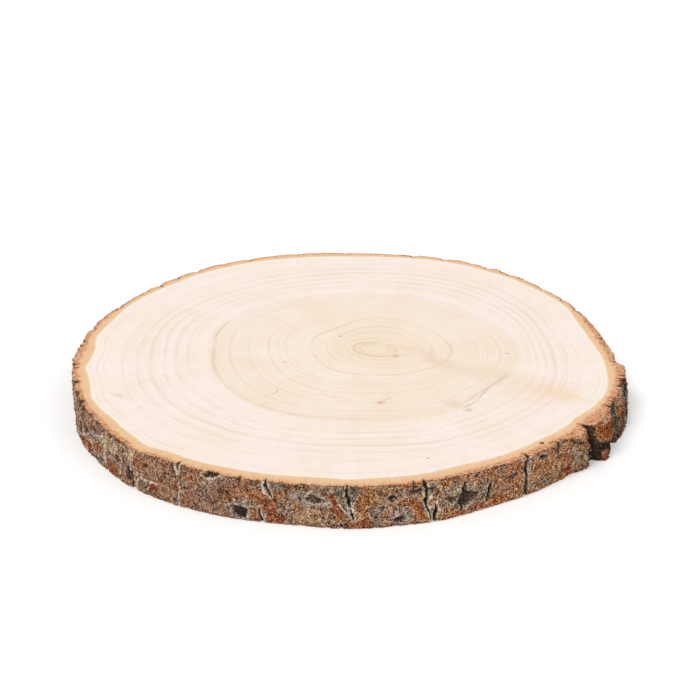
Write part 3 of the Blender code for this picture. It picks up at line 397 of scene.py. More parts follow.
for k, a in enumerate(np.arange(1.5, 186.0, 5.2)):
    a, z = float(a + rng.uniform(-1.6, 1.6)), float(rng.uniform(5.0, 19.0))
    if k % 3 == 0:
        half, tall = float(rng.uniform(2.5, 6.5)), float(rng.uniform(2.2, 4.6))
        PATCHES.append(("lilac", float(rng.uniform(0.6, 1.0)), 0.4, 0.6, blob(a, z, half, tall)))
        PATCHES.append(("pit", 1.0, -1.4, 0.5, blob(a, z, half * 0.5, tall * 0.55)))
    for kind, share in (("rust", 1.0), ("moss", 0.9), ("cream", 0.4), ("orange", 0.6), ("red", 0.3), ("dark", 0.5), ("lilac", 0.3)):
        if rng.random() < share:
            PATCHES.append((kind, float(rng.uniform(0.5, 1.0)), 0.0, 0.9,
                            blob(float(a + rng.uniform(-3.5, 3.5)), float(rng.uniform(1, 23)), float(rng.uniform(1.5, 4.5)), float(rng.uniform(2.0, 5.0)))))
for k, a in enumerate(np.arange(3.0, 184.0, 6.9)):
    a, lean, wide = float(a + rng.uniform(-2.0, 2.0)), float(rng.uniform(-0.9, 0.9)), float(rng.uniform(0.7, 1.2))
    low, high = [(-1.5, float(rng.uniform(9, 16))), (float(rng.uniform(4, 13)), 26.0), (float(rng.uniform(2, 6)), float(rng.uniform(13, 20)))][k % 3]
    CRACKS.append((float(rng.uniform(1.6, 3.0)), float(rng.uniform(0.2, 1.0)), float(rng.uniform(0.2, 1.0)),
                   [(a - lean, high, wide if high > 25 else 0.25), (a, (low + high) / 2, 0.6 * wide), (a + 0.4 * lean, low, wide if low < 0 else 0.25)]))


def rim_radius(angle):
    return closed_spline(RIM, angle / 10.0)


def near_points(angle, z, points, reach):
    """Numbers of the places near a drawn shape, and its corners in millimetres."""
    middle = sum(p[0] for p in points) / len(points)
    s = [(p[0] - middle) * MM_PER_DEGREE for p in points]
    here = gap(angle, middle) * MM_PER_DEGREE
    t = [p[1] for p in points]
    found = np.nonzero((here > min(s) - reach) & (here < max(s) + reach) & (z > min(t) - reach) & (z < max(t) + reach))[0]
    return found, here[found], s, t


def outside(x, y, sx, sy):
    """Signed distance to a closed shape, negative inside."""
    best, inside = np.full(len(x), 1e9), np.zeros(len(x), dtype=bool)
    for k in range(len(sx)):
        ax, ay, bx, by = sx[k - 1], sy[k - 1], sx[k], sy[k]
        t = np.clip(((x - ax) * (bx - ax) + (y - ay) * (by - ay)) / max((bx - ax) ** 2 + (by - ay) ** 2, 1e-9), 0, 1)
        best = np.minimum(best, np.hypot(x - ax - t * (bx - ax), y - ay - t * (by - ay)))
        if ay != by:
            inside ^= ((ay > y) != (by > y)) & (x < ax + (y - ay) * (bx - ax) / (by - ay))
    return np.where(inside, -best, best)


def along(x, y, sx, sy, widths):
    """Distance to a drawn line, its side and its half width there."""
    best, side, width = np.full(len(x), 1e9), np.zeros(len(x)), np.full(len(x), 0.5)
    for k in range(1, len(sx)):
        ax, ay, bx, by = sx[k - 1], sy[k - 1], sx[k], sy[k]
        t = np.clip(((x - ax) * (bx - ax) + (y - ay) * (by - ay)) / max((bx - ax) ** 2 + (by - ay) ** 2, 1e-9), 0, 1)
        dx, dy = x - ax - t * (bx - ax), y - ay - t * (by - ay)
        d = np.hypot(dx, dy)
        closer = d < best
        best = np.where(closer, d, best)
        side = np.where(closer, np.sign(dx), side)
        width = np.where(closer, widths[k - 1] + (widths[k] - widths[k - 1]) * t, width)
    return best, side, width


KINDS = ["rust", "orange", "red", "moss", "cream", "lilac", "pit", "dark", "pale", "cut", "black"]
MASKS = KINDS + ["crack", "high"]


def bark_field(angle, z):
    """Radius of the bark and its colour masks at angles (degrees) and heights."""
    n = len(angle)
    a = np.radians(angle)
    h = np.clip(z / THICKNESS, 0, 1)
    r = rim_radius(angle) + closed_spline(FOOT, angle / 10.0) * (1 - h)
    for centre, half, top, foot in SWELLINGS:
        r = r + (top * h + foot * (1 - h)) * np.exp(-(gap(angle, centre) / half) ** 2)

    place = np.stack([146.0 * np.cos(a), 146.0 * np.sin(a), z], 1)
    wobble = np.stack([smooth_noise(place / 2.6, 5), smooth_noise(place / 2.6, 6)], 1) * 0.55 \
        + np.stack([smooth_noise(place / 1.1, 7), smooth_noise(place / 1.1, 8)], 1) * 0.42
    wide_wobble = np.stack([smooth_noise(place / 7.0, 9), smooth_noise(place / 7.0, 10)], 1)
    ragged = smooth_noise(place / 1.7, 11)

    masks = {k: np.zeros(n) for k in MASKS}
    # coarser bark at the two ends of the long axis
    coarse = 1 + 1.1 * (1 - ramp01(np.abs(gap(angle, 192.0)), 8, 24)) + 1.0 * (1 - ramp01(np.abs(gap(angle, 342.0)), 12, 26))

    # broad swell, scaly plates, flakes and grains
    relief = 0.45 * layered(place / np.array([11.0, 11.0, 15.0]), 2, 21)
    relief += 0.50 * coarse * layered(place / np.array([4.2, 4.2, 5.5]), 2, 22)
    f1, f2 = cells(place / np.array([2.6, 2.6, 3.2]) + 0.5 * wobble[:, :1], 31)
    relief += 0.30 * coarse * (ramp01(f2 - f1, 0.0, 0.30) - 0.8)
    g1, g2 = cells(place / np.array([1.15, 1.15, 1.3]) + 0.4 * wobble[:, 1:], 32)
    relief += 0.22 * coarse * (ramp01(g2 - g1, 0.0, 0.4) - 0.65)
    relief += 0.30 * (0.5 + 0.5 * coarse) * layered(place / 1.05, 2, 23)
    relief += 0.4 * np.sin(np.pi * h) - 0.2
    scale_edge = 1 - ramp01(f2 - f1, 0.02, 0.16)

    # plate steps, open at the rim and dying out down the wall
    for centre, depth, low_fade, high_fade, lean in PLATE_STEPS:
        line = centre + lean * (1 - h) + 0.28 * wide_wobble[:, 0]
        d = gap(angle, line)
        near = np.abs(d) < 6
        strength = depth * (0.35 + 0.65 * h) * (0.75 + 0.5 * np.clip(wide_wobble[:, 1], -1, 1))
        cut = np.where(d < 0, np.exp(np.minimum(d, 0) / low_fade), np.exp(-np.maximum(d, 0) / high_fade))
        relief -= strength * np.where(near, cut, 0)
        # painted shade along the step
        masks["dark"] = np.maximum(masks["dark"], np.where(near, 0.9 * cut ** 2 * np.clip(depth / 2.2, 0.2, 1), 0))
        edge = np.exp(-((np.abs(d) - 0.75) / 0.32) ** 2)
        masks["pale"] = np.maximum(masks["pale"], np.where(near, 0.45 * edge * np.clip(depth / 2.5, 0, 1), 0))

    # patches, with ragged edges
    for kind, strength, rise, soft, points in PATCHES:
        i, x, s, t = near_points(angle, z, points, soft + 2.5)
        if not len(i):
            continue
        loose = 0.55 + 0.75 * soft
        d = outside(x + loose * wobble[i, 0], z[i] + loose * wobble[i, 1], s, t) + 0.35 * soft * ragged[i]
        amount = strength * (1 - ramp01(d, -0.55 * soft, 0.55 * soft))
        masks[kind][i] = np.maximum(masks[kind][i], amount)
        inner = 1 - ramp01(d, -1.6 - 0.5 * soft, 0.4)
        relief[i] += rise * (inner if rise < 0 else 1 - ramp01(d, -0.5, 0.5))
        if kind in ("pit", "black"):
            # a raised pale rim round the hollow
            ring = np.exp(-((d - 0.75) / 0.38) ** 2)
            relief[i] += 0.22 * ring
            if kind == "pit":
                masks["pale"][i] = np.maximum(masks["pale"][i], 0.30 * ring * (0.6 + ragged[i]))
    relief += 0.30 * np.clip(masks["cream"] + masks["moss"], 0, 1) * layered(place / 0.9, 1, 61)

    # cracks
    for depth, lip_low, lip_high, points in CRACKS:
        i, x, s, t = near_points(angle, z, points, max(p[2] for p in points) * 2.5 + 3)
        if not len(i):
            continue
        d, side, width = along(x + 0.8 * wobble[i, 0], z[i] + 0.4 * wobble[i, 1], s, t, [p[2] for p in points])
        width = 0.82 * width * (1 + 0.55 * np.clip(ragged[i], -1, 1))
        # the saw has closed the notches a little at the rim
        open_rim = 1 - 0.5 * ramp01(z[i], 20.5, 24.0)
        relief[i] -= depth * open_rim * np.clip(1 - d / (1.5 * width + 0.15), 0, 1) ** 0.8 * np.clip(width / 0.8, 0.4, 1.1)
        masks["crack"][i] = np.maximum(masks["crack"][i], 1 - ramp01(d / width, 0.6, 1.3))
        # painted shade beside the crack
        masks["dark"][i] = np.maximum(masks["dark"][i], 0.55 * np.exp(-(d / (width + 0.7)) ** 2))
        lip = np.where(side < 0, lip_low, lip_high)
        band = np.exp(-((d - width * 1.2 - 0.4) / 0.42) ** 2)
        torn = np.clip(0.75 + 1.1 * smooth_noise(place[i] / 1.9, 71), 0, 1.4)
        masks["pale"][i] = np.maximum(masks["pale"][i], lip * band * torn)
        relief[i] += 0.35 * lip * band * torn
        masks["crack"][i] *= 1 - 0.8 * np.clip(lip * band * torn, 0, 1)
    for strength, points in STREAKS:
        i, x, s, t = near_points(angle, z, points, 2.5)
        d, side, width = along(x + 0.6 * wobble[i, 0], z[i] + 0.4 * wobble[i, 1], s, t, [p[2] for p in points])
        torn = np.clip(0.8 + 0.9 * ragged[i], 0, 1.4)
        masks["pale"][i] = np.maximum(masks["pale"][i], strength * torn * (1 - ramp01(d / width, 0.5, 1.5)))
        relief[i] += 0.25 * torn * (1 - ramp01(d / width, 0.5, 1.5))

    # painted shade in the grooves between the bark's scales
    masks["dark"] = np.maximum(masks["dark"], 0.28 * scale_edge)
    # the relief's height, kept as a mask that paints shade into the hollows and highlight onto the ridges of the bark
    masks["high"] = np.clip(0.5 + relief * 0.45, 0, 1)
    return r + relief, masks


# =================================================================================
# Geometry
# =================================================================================
def wood_radius(angle):
    return closed_spline(WOOD, angle / 5.0)


start, stop, count = DENSE
angles = np.concatenate([np.linspace(start, stop, count, endpoint=False),
                         np.linspace(stop, start + 360.0, COLUMNS - count, endpoint=False)])
rad = np.radians(angles)
heights = THICKNESS * (1 - np.arange(WALL_ROWS + 1) / WALL_ROWS)

grid_angle = np.tile(angles % 360.0, WALL_ROWS + 1)
grid_height = np.repeat(heights, COLUMNS)
radius, masks = bark_field(grid_angle, grid_height)
radius = radius.reshape(WALL_ROWS + 1, COLUMNS)

cambium = wood_radius(angles % 360.0)
cambium = cambium + 0.25 * layered(np.stack([9 * np.cos(rad), 9 * np.sin(rad), 0 * rad], 1), 3, 77)
radius = np.maximum(radius, cambium + 1.0)

vertices, attributes, rows = [], {}, []
SURFACE = ["ring", "bast", "edge", "heart", "cork", "sector"]
for key in MASKS + SURFACE:
    attributes[key] = []


def add_row(x, y, z, **values):
    """Adds one closed row of corners and returns their numbers."""
    start = sum(len(v) for v in vertices)
    n = len(x)
    vertices.append(np.stack([x, y, np.broadcast_to(z, (n,)) + 0.0], 1))
    for key in attributes:
        attributes[key].append(np.broadcast_to(np.asarray(values.get(key, 0.0), float), (n,)) + 0.0)
    row = np.arange(start, start + n)
    rows.append(row)
    return row


faces, face_kind = [], []          # kind 0 end grain, 1 cut bast and bark, 2 bark


def join(outer, inner, kind, flip):
    """Faces between two rows of equal length."""
    n = len(outer)
    nxt = (np.arange(n) + 1) % n
    quad = np.stack([outer, outer[nxt], inner[nxt], inner], 1)
    if flip:
        quad = quad[:, ::-1]
    faces.extend(quad.tolist())
    face_kind.extend([kind] * n)


def halve(outer, inner, kind, flip):
    """Faces from a row to one with half as many corners."""
    n = len(inner)
    for k in range(n):
        a, b, c = outer[2 * k], outer[2 * k + 1], outer[(2 * k + 2) % (2 * n)]
        p, q = inner[k], inner[(k + 1) % n]
        for f in ((a, b, p), (b, c, q), (b, q, p)):
            faces.append(list(f[::-1]) if flip else list(f))
            face_kind.append(kind)


# distances from the pith to the control rings, along the direction of each column
cam_x, cam_y = cambium * np.cos(rad), cambium * np.sin(rad)
phi = np.arctan2(cam_y - PITH[1], cam_x - PITH[0])
far = np.hypot(cam_x - PITH[0], cam_y - PITH[1])
turn = np.degrees(phi) % 360.0
knots = [0.0] + [c[0] for c in RING_CURVES] + [1.0]
dist = [np.zeros(COLUMNS)] + [closed_spline(c[1], turn / 15.0) for c in RING_CURVES] + [far]
heartwood = closed_spline(HEARTWOOD, turn / 15.0)
cork = closed_spline(CORK, angles % 360.0 / 30.0)
# directions in which the edge of the heartwood is drawn as a dark line
sector = ramp01(turn, 150, 160) * (1 - ramp01(turn, 250, 275)) + ramp01(turn, 304, 311) * (1 - ramp01(turn, 334, 342))


def ring_row(place, step):
    """Corners of one growth ring, taking every step-th column."""
    sel = slice(0, COLUMNS, step)
    k = min(max(i for i in range(len(knots)) if knots[i] <= place + 1e-12), len(knots) - 2)
    d = np.stack([x[sel] for x in dist])
    t = (place - knots[k]) / (knots[k + 1] - knots[k])
    # slopes for a smooth rise from ring to ring
    slope = [(d[i + 1] - d[i]) / (knots[i + 1] - knots[i]) for i in range(len(knots) - 1)]
    m = [slope[0]] + [(slope[i] + slope[i + 1]) / 2 for i in range(len(slope) - 1)] + [slope[-1]]
    w = knots[k + 1] - knots[k]
    r = (2 * t ** 3 - 3 * t ** 2 + 1) * d[k] + (t ** 3 - 2 * t ** 2 + t) * w * m[k] \
        + (-2 * t ** 3 + 3 * t ** 2) * d[k + 1] + (t ** 3 - t ** 2) * w * m[k + 1]
    return PITH[0] + r * np.cos(phi[sel]), PITH[1] + r * np.sin(phi[sel]), r - heartwood[sel]


top_z, foot_z = THICKNESS, 0.0
crack_row = {k: masks[k].reshape(WALL_ROWS + 1, COLUMNS) for k in MASKS}

# the wall, from the top edge down
chip_top = 0.20 + 0.35 * np.clip(layered(np.stack([60 * np.cos(rad), 60 * np.sin(rad), 0 * rad], 1), 2, 81), 0, 1)
chip_foot = 1.1 * np.clip(layered(np.stack([22 * np.cos(rad), 22 * np.sin(rad), 0 * rad + 4], 1), 2, 82) + 0.05, 0, 1)
wall = []
for i in range(WALL_ROWS + 1):
    z = heights[i] + 0 * angles
    if i == 0:
        z = z - chip_top
    if i >= WALL_ROWS - 2:
        z = z + chip_foot * (i - (WALL_ROWS - 3)) / 3.0
    wall.append(add_row(radius[i] * np.cos(rad), radius[i] * np.sin(rad), z,
                        edge=0.0, bast=1.0, ring=1.0, cork=cork, **{k: crack_row[k][i] for k in MASKS}))
for i in range(WALL_ROWS):
    join(wall[i], wall[i + 1], 2, True)

# cut bast and bark between the wall and the wood, then the wood ring by ring to the pith
side_faces = {}
for side in (1, 0):
    first_face = len(faces)
    rim = radius[0] if side else radius[-1]
    previous = wall[0] if side else wall[-1]
    rim_z = heights[0] - chip_top if side else chip_foot
    level = top_z if side else foot_z
    thick = rim - cambium
    step = 1
    for t, wanted in (((0.05, 1), (0.13, 1), (0.25, 2), (0.42, 2), (0.65, 2), (1.0, 2)) if side else ((0.2, 1), (0.55, 2), (1.0, 2))):
        halving = wanted > step
        step = wanted
        sel = slice(0, COLUMNS, step)
        r = (rim + (cambium - rim) * t)[sel]
        drop = np.exp(-t * thick[sel] / 0.5)
        z = level * (1 - drop) + rim_z[sel] * drop
        rough = 0.12 * layered(np.stack([r * np.cos(rad[sel]), r * np.sin(rad[sel]), 0 * r + 9], 1) / 1.4, 2, 83) * (1 - t)
        z = np.minimum(z + rough, top_z) if side else z + np.abs(rough)
        row = add_row(r * np.cos(rad[sel]), r * np.sin(rad[sel]), z, edge=t * thick[sel], bast=1 - t, ring=1.0, cork=cork[sel], heart=40.0,
                      **{k: crack_row[k][0 if side else -1][sel] for k in ("crack", "dark", "red", "black")})
        (halve if halving else join)(previous, row, 1, side == 0)
        previous = row
    plan = [(0.992, 2), (0.980, 4), (0.96, 4)] + [(p, 4) for p in np.linspace(0.93, 0.50, 15)] \
        + [(p, 8) for p in np.linspace(0.475, 0.22, 9)] + [(p, 16) for p in np.linspace(0.195, 0.07, 5)] \
        + [(0.045, 32), (0.02, 32)]
    if not side:
        plan = plan[:3] + plan[3:-2:2] + plan[-2:]
    for place, wanted in plan:
        halving = wanted > step
        step = wanted
        x, y, heart = ring_row(place, step)
        row = add_row(x, y, level, ring=place, edge=10.0, heart=heart, sector=sector[::step])
        (halve if halving else join)(previous, row, 0, side == 0)
        previous = row
    centre = add_row(np.array([PITH[0]]), np.array([PITH[1]]), level, ring=0.0, edge=10.0, heart=-80.0)[0]
    n = len(previous)
    for k in range(n):
        f = [previous[k], previous[(k + 1) % n], centre]
        faces.append(f[::-1] if side == 0 else f)
        face_kind.append(0)
    side_faces[side] = (first_face, len(faces))

co = np.concatenate(vertices) * MM
co[:, 2] += LOW[2] * MM
mesh = bpy.data.meshes.new("wood_slice_surface")
mesh.from_pydata(co.tolist(), [], faces)
mesh.polygons.foreach_set("material_index", np.array(face_kind, dtype=np.int32))
mesh.polygons.foreach_set("use_smooth", np.ones(len(faces), dtype=bool))
for key, parts in attributes.items():
    layer = mesh.attributes.new(key, "FLOAT", "POINT")
    layer.data.foreach_set("value", np.concatenate(parts).astype(np.float32))

# one map of the whole surface: both sawn faces as discs, the bark as four strips
starts = np.empty(len(mesh.polygons), dtype=np.int32)
mesh.polygons.foreach_get("loop_start", starts)
corner = np.empty(len(mesh.loops), dtype=np.int32)
mesh.loops.foreach_get("vertex_index", corner)
flat = np.zeros((len(corner), 2))
count = WALL_ROWS * COLUMNS
ends = np.append(angles, angles[0] + 360.0) - angles[0]
column, line = np.arange(count) % COLUMNS, np.arange(count) // COLUMNS
strip = np.minimum((ends[column] // 90.0).astype(int), 3)
for k, (across, down) in enumerate(((0, 1), (1, 1), (1, 0), (0, 0))):
    u = (ends[column + across] - 90.0 * strip) / 90.0
    v = (line + down) / WALL_ROWS
    flat[starts[:count] + k] = np.stack([(6 + 1012 * u) / 1024, (4 + 89 * strip + 84 * (1 - v)) / 1024], 1)
for side, (first, last) in side_faces.items():
    a, b = starts[first], (starts[last] if last < len(starts) else len(corner))
    p = co[corner[a:b], :2] / MM
    flat[a:b] = np.stack([332 + 2.13 * p[:, 0], 692 + 2.13 * p[:, 1]], 1) / 1024 if side \
        else np.stack([846 - 1.12 * p[:, 0], 846 + 1.12 * p[:, 1]], 1) / 1024
uv = mesh.uv_layers.new(name="OFBake")
uv.data.foreach_set("uv", flat.astype(np.float32).ravel())

# crisp edges where the saw cut meets the bark
rim_corners = np.zeros(len(co), dtype=bool)
rim_corners[wall[0]] = True
foot_corners = np.zeros(len(co), dtype=bool)
foot_corners[wall[-1]] = True
edge_ends = np.empty(len(mesh.edges) * 2, dtype=np.int32)
mesh.edges.foreach_get("vertices", edge_ends)
edge_ends = edge_ends.reshape(-1, 2)
sharp = (rim_corners[edge_ends].all(1)) | (foot_corners[edge_ends].all(1))
flag = mesh.attributes.new("sharp_edge", "BOOLEAN", "EDGE")
flag.data.foreach_set("value", sharp)
mesh.update()
mesh.validate()

piece = bpy.data.objects.new("wood_slice_natural", mesh)
bpy.context.scene.collection.objects.link(piece)


# =================================================================================
# Materials
# =================================================================================
class Nodes:
    """Short ways to add shader nodes to a material."""

    def __init__(self, name):
        self.material = bpy.data.materials.new(name)
        self.material.use_nodes = True
        self.tree = self.material.node_tree
        self.shader = self.tree.nodes["Principled BSDF"]
        self.place = None

    def node(self, kind, **settings):
        n = self.tree.nodes.new(kind)
        for k, v in settings.items():
            setattr(n, k, v)
        return n

    def put(self, socket, value):
        if hasattr(value, "is_output"):
            self.tree.links.new(value, socket)
        else:
            socket.default_value = value

    def coords(self):
        """Place on the object in millimetres."""
        if self.place is None:
            t = self.node("ShaderNodeTexCoord")
            v = self.node("ShaderNodeVectorMath", operation="SCALE")
            self.tree.links.new(t.outputs["Object"], v.inputs[0])
            v.inputs["Scale"].default_value = 1000.0
            self.place = v.outputs[0]
        return self.place

    def attribute(self, name):
        return self.node("ShaderNodeAttribute", attribute_name=name).outputs["Fac"]

    def math(self, operation, a, b=0.0, clamp=False):
        n = self.node("ShaderNodeMath", operation=operation, use_clamp=clamp)
        self.put(n.inputs[0], a)
        self.put(n.inputs[1], b)
        return n.outputs[0]

    def vector(self, operation, a, b=(0.0, 0.0, 0.0), scale=None):
        n = self.node("ShaderNodeVectorMath", operation=operation)
        self.put(n.inputs[0], a)
        self.put(n.inputs[1], b)
        if scale is not None:
            n.inputs["Scale"].default_value = scale
        return n.outputs["Value"] if operation in ("LENGTH", "DISTANCE", "DOT_PRODUCT") else n.outputs[0]

    def noise(self, size, detail=2.0, roughness=0.5, vector=None, stretch=None, distortion=0.0):
        """Noise from 0 to 1 whose features are about 'size' millimetres."""
        n = self.node("ShaderNodeTexNoise", noise_dimensions="3D")
        v = vector or self.coords()
        if stretch:
            v = self.vector("MULTIPLY", v, stretch)
        self.put(n.inputs["Vector"], v)
        n.inputs["Scale"].default_value = 1.0 / size
        n.inputs["Detail"].default_value = detail
        n.inputs["Roughness"].default_value = roughness
        n.inputs["Distortion"].default_value = distortion
        return n.outputs["Fac"]

    def colour_noise(self, size):
        n = self.node("ShaderNodeTexNoise", noise_dimensions="3D")
        self.put(n.inputs["Vector"], self.coords())
        n.inputs["Scale"].default_value = 1.0 / size
        return n.outputs["Color"]

    def grains(self, size, feature="F1", vector=None, smooth=None):
        n = self.node("ShaderNodeTexVoronoi", feature=feature)
        self.put(n.inputs["Vector"], vector or self.coords())
        n.inputs["Scale"].default_value = 1.0 / size
        return n.outputs["Distance"]

    def span(self, value, a, b, low=0.0, high=1.0, smooth=True):
        n = self.node("ShaderNodeMapRange", interpolation_type="SMOOTHSTEP" if smooth else "LINEAR")
        self.put(n.inputs["Value"], value)
        n.inputs["From Min"].default_value = a
        n.inputs["From Max"].default_value = b
        n.inputs["To Min"].default_value = low
        n.inputs["To Max"].default_value = high
        return n.outputs["Result"]

    def mix(self, share, a, b, blend="MIX"):
        n = self.node("ShaderNodeMix", data_type="RGBA", blend_type=blend, clamp_factor=True)
        self.put(n.inputs[0], share)
        self.put(n.inputs[6], a)
        self.put(n.inputs[7], b)
        return n.outputs[2]

    def ramp(self, value, stops, interpolation="LINEAR"):
        n = self.node("ShaderNodeValToRGB")
        n.color_ramp.interpolation = interpolation
        e = n.color_ramp.elements
        while len(e) < len(stops):
            e.new(0.5)
        for k, (place, colour) in enumerate(stops):
            e[k].position = place
            e[k].color = colour
        self.put(n.inputs[0], value)
        return n.outputs[0]

    def bump(self, height, strength, distance_mm, normal=None):
        n = self.node("ShaderNodeBump")
        n.inputs["Strength"].default_value = strength
        n.inputs["Distance"].default_value = distance_mm * MM
        self.put(n.inputs["Height"], height)
        if normal is not None:
            self.put(n.inputs["Normal"], normal)
        return n.outputs[0]


def bark_material():
    m = Nodes("bark")
    curly = m.noise(1.3, 2.0, 0.6, distortion=1.5)
    broad = m.noise(3.2, 2.0, 0.55, distortion=0.8)
    fine = m.noise(0.55, 1.0, 0.5)
    grain = m.grains(1.1)
    zone = m.noise(6.5, 2.0, 0.5)
    mixed = m.math("ADD", m.math("ADD", m.math("MULTIPLY", curly, 0.62), m.math("MULTIPLY", broad, 0.10)), m.math("MULTIPLY", fine, 0.28))
    tone = m.math("ADD", m.math("MULTIPLY", m.math("SUBTRACT", mixed, 0.5), TONE_STRETCH), 0.5, clamp=True)

    def shades(dark, low, mid, high, light):
        return m.ramp(tone, [(0.04, srgb(*dark)), (0.28, srgb(*low)), (0.50, srgb(*mid)), (0.72, srgb(*high)), (0.96, srgb(*light))])

    base = shades((54, 33, 26), (130, 90, 72), (184, 138, 112), (216, 178, 152), (246, 224, 198))
    warm = shades((64, 34, 22), (160, 100, 66), (214, 152, 106), (236, 184, 138), (250, 222, 186))
    # warmer towards the side that faces +X
    lean = m.node("ShaderNodeSeparateXYZ")
    m.put(lean.inputs[0], m.coords())
    colour = m.mix(m.span(m.math("ADD", zone, m.math("MULTIPLY", lean.outputs[0], 0.0007)), 0.44, 0.56), base, warm)

    def patch(name, shade, spotty):
        share = m.attribute(name)
        if spotty:
            share = m.math("MULTIPLY", share, m.span(m.noise(spotty, 2.0, 0.5, distortion=0.8), 0.36, 0.52, 0.35, 1.0))
        return m.mix(share, colour, shade)

    colour = patch("moss", m.ramp(m.math("ADD", m.math("MULTIPLY", grain, 0.45), m.math("MULTIPLY", tone, 0.62)),
                                  [(0.20, srgb(44, 37, 30)), (0.42, srgb(104, 91, 74)), (0.60, srgb(160, 146, 122)), (0.84, srgb(232, 222, 198))]), 1.7)
    far = m.span(lean.outputs[0], -55.0, -95.0)
    mauve = shades((60, 37, 29), (142, 102, 85), (190, 146, 122), (216, 181, 156), (244, 222, 200))
    colour = m.mix(m.math("MULTIPLY", far, 0.6), colour, mauve)
    rust = shades((62, 27, 16), (144, 76, 48), (200, 112, 70), (222, 146, 102), (242, 194, 156))
    share = m.math("MULTIPLY", m.attribute("rust"), m.span(m.noise(2.0, 2.0, 0.5, distortion=0.8), 0.36, 0.52, 0.35, 1.0))
    colour = m.mix(m.math("MULTIPLY", share, m.math("SUBTRACT", 1.0, m.math("MULTIPLY", far, 0.45))), colour, rust)
    colour = patch("orange", shades((92, 44, 22), (176, 104, 62), (220, 144, 90), (238, 174, 120), (250, 214, 172)), 2.2)
    colour = patch("red", shades((50, 19, 12), (122, 56, 35), (176, 86, 54), (204, 116, 78), (234, 172, 134)), None)
    deep = m.node("ShaderNodeHueSaturation")
    ends = m.math("ADD", m.span(lean.outputs[0], 118.0, 136.0, 0.0, 0.08), m.span(lean.outputs[0], -55.0, -100.0, 0.0, 0.16))
    m.put(deep.inputs["Saturation"], m.math("ADD", ends, BARK_SATURATION))
    # paler towards both ends of the long axis
    rise = m.math("ADD", m.span(lean.outputs[0], 5.0, 60.0, 0.0, 0.16), m.span(lean.outputs[0], -60.0, -110.0, 0.0, 0.11))
    rise = m.math("SUBTRACT", rise, m.span(lean.outputs[0], 112.0, 128.0, 0.0, 0.12))
    m.put(deep.inputs["Value"], m.math("ADD", rise, BARK_VALUE))
    deep.inputs["Hue"].default_value = BARK_HUE
    m.put(deep.inputs["Color"], colour)
    colour = deep.outputs[0]
    colour = patch("cream", shades((74, 52, 36), (162, 128, 92), (210, 178, 132), (234, 210, 168), (250, 236, 204)), 1.5)
    colour = patch("lilac", shades((52, 38, 33), (118, 93, 84), (158, 129, 118), (184, 158, 148), (224, 206, 192)), None)
    colour = patch("cut", shades((100, 58, 36), (188, 126, 88), (224, 166, 124), (238, 188, 150), (248, 214, 182)), None)
    colour = patch("dark", shades((22, 13, 10), (48, 32, 25), (76, 54, 43), (100, 76, 61), (150, 120, 98)), None)
    colour = patch("pit", shades((30, 20, 15), (66, 48, 38), (96, 74, 62), (122, 96, 82), (166, 138, 120)), None)
    colour = patch("black", shades((8, 5, 4), (20, 12, 9), (36, 24, 18), (56, 40, 30), (112, 88, 70)), None)
    # scattered pale flakes and dark specks
    open_bark = m.math("SUBTRACT", 1.0, m.math("ADD", m.math("MAXIMUM", m.math("MAXIMUM", m.attribute("pit"), m.attribute("dark")), m.attribute("black")), m.math("MULTIPLY", m.attribute("lilac"), 0.4)), clamp=True)
    flake = m.math("MULTIPLY", m.span(m.noise(1.0, 2.0, 0.5, distortion=2.2), 0.575, 0.66), m.span(m.noise(4.5, 2.0), 0.46, 0.64))
    flake = m.math("MULTIPLY", flake, open_bark)
    colour = m.mix(m.math("MULTIPLY", flake, 0.8), colour, srgb(226, 204, 176))
    speck = m.span(m.noise(0.85, 2.0, 0.5, distortion=1.2), 0.41, 0.34)
    colour = m.mix(m.math("MULTIPLY", speck, 0.8), colour, srgb(44, 28, 22))
    # painted shade filling the cracks
    colour = patch("crack", m.ramp(fine, [(0.32, srgb(18, 11, 8)), (0.52, srgb(60, 41, 32)), (0.66, srgb(150, 120, 100))]), 0.9)
    torn = m.math("MULTIPLY", m.attribute("pale"), m.span(m.noise(1.1, 2.0, 0.5, distortion=1.5), 0.36, 0.50, 0.15, 1.9), clamp=True)
    colour = m.mix(torn, colour, m.ramp(tone, [(0.0, srgb(160, 132, 106)), (0.5, srgb(222, 202, 174)), (1.0, srgb(252, 242, 226))]))
    # painted shade darkens the hollows of the relief
    high = m.attribute("high")
    colour = m.mix(m.span(high, 0.42, 0.05, 0.0, 0.70), colour, srgb(36, 23, 17))
    # painted highlight on the ridges, kept off the red and orange patches
    ridge_highlight_share = m.math("SUBTRACT", 1.0, m.math("MAXIMUM", m.attribute("red"), m.attribute("orange")), clamp=True)
    colour = m.mix(m.math("MULTIPLY", m.span(high, 0.64, 0.98, 0.0, 0.22), ridge_highlight_share), colour, srgb(222, 194, 164))

    m.put(m.shader.inputs["Base Color"], colour)
    m.put(m.shader.inputs["Roughness"], m.span(curly, 0.3, 0.7, 0.95, 0.80))
    m.shader.inputs["Specular IOR Level"].default_value = 0.22
    height = m.math("ADD", m.math("ADD", tone, m.math("MULTIPLY", grain, -0.4)), m.math("MULTIPLY", flake, 0.5))
    m.put(m.shader.inputs["Normal"], m.bump(height, 0.7, 0.5))
    return m.material


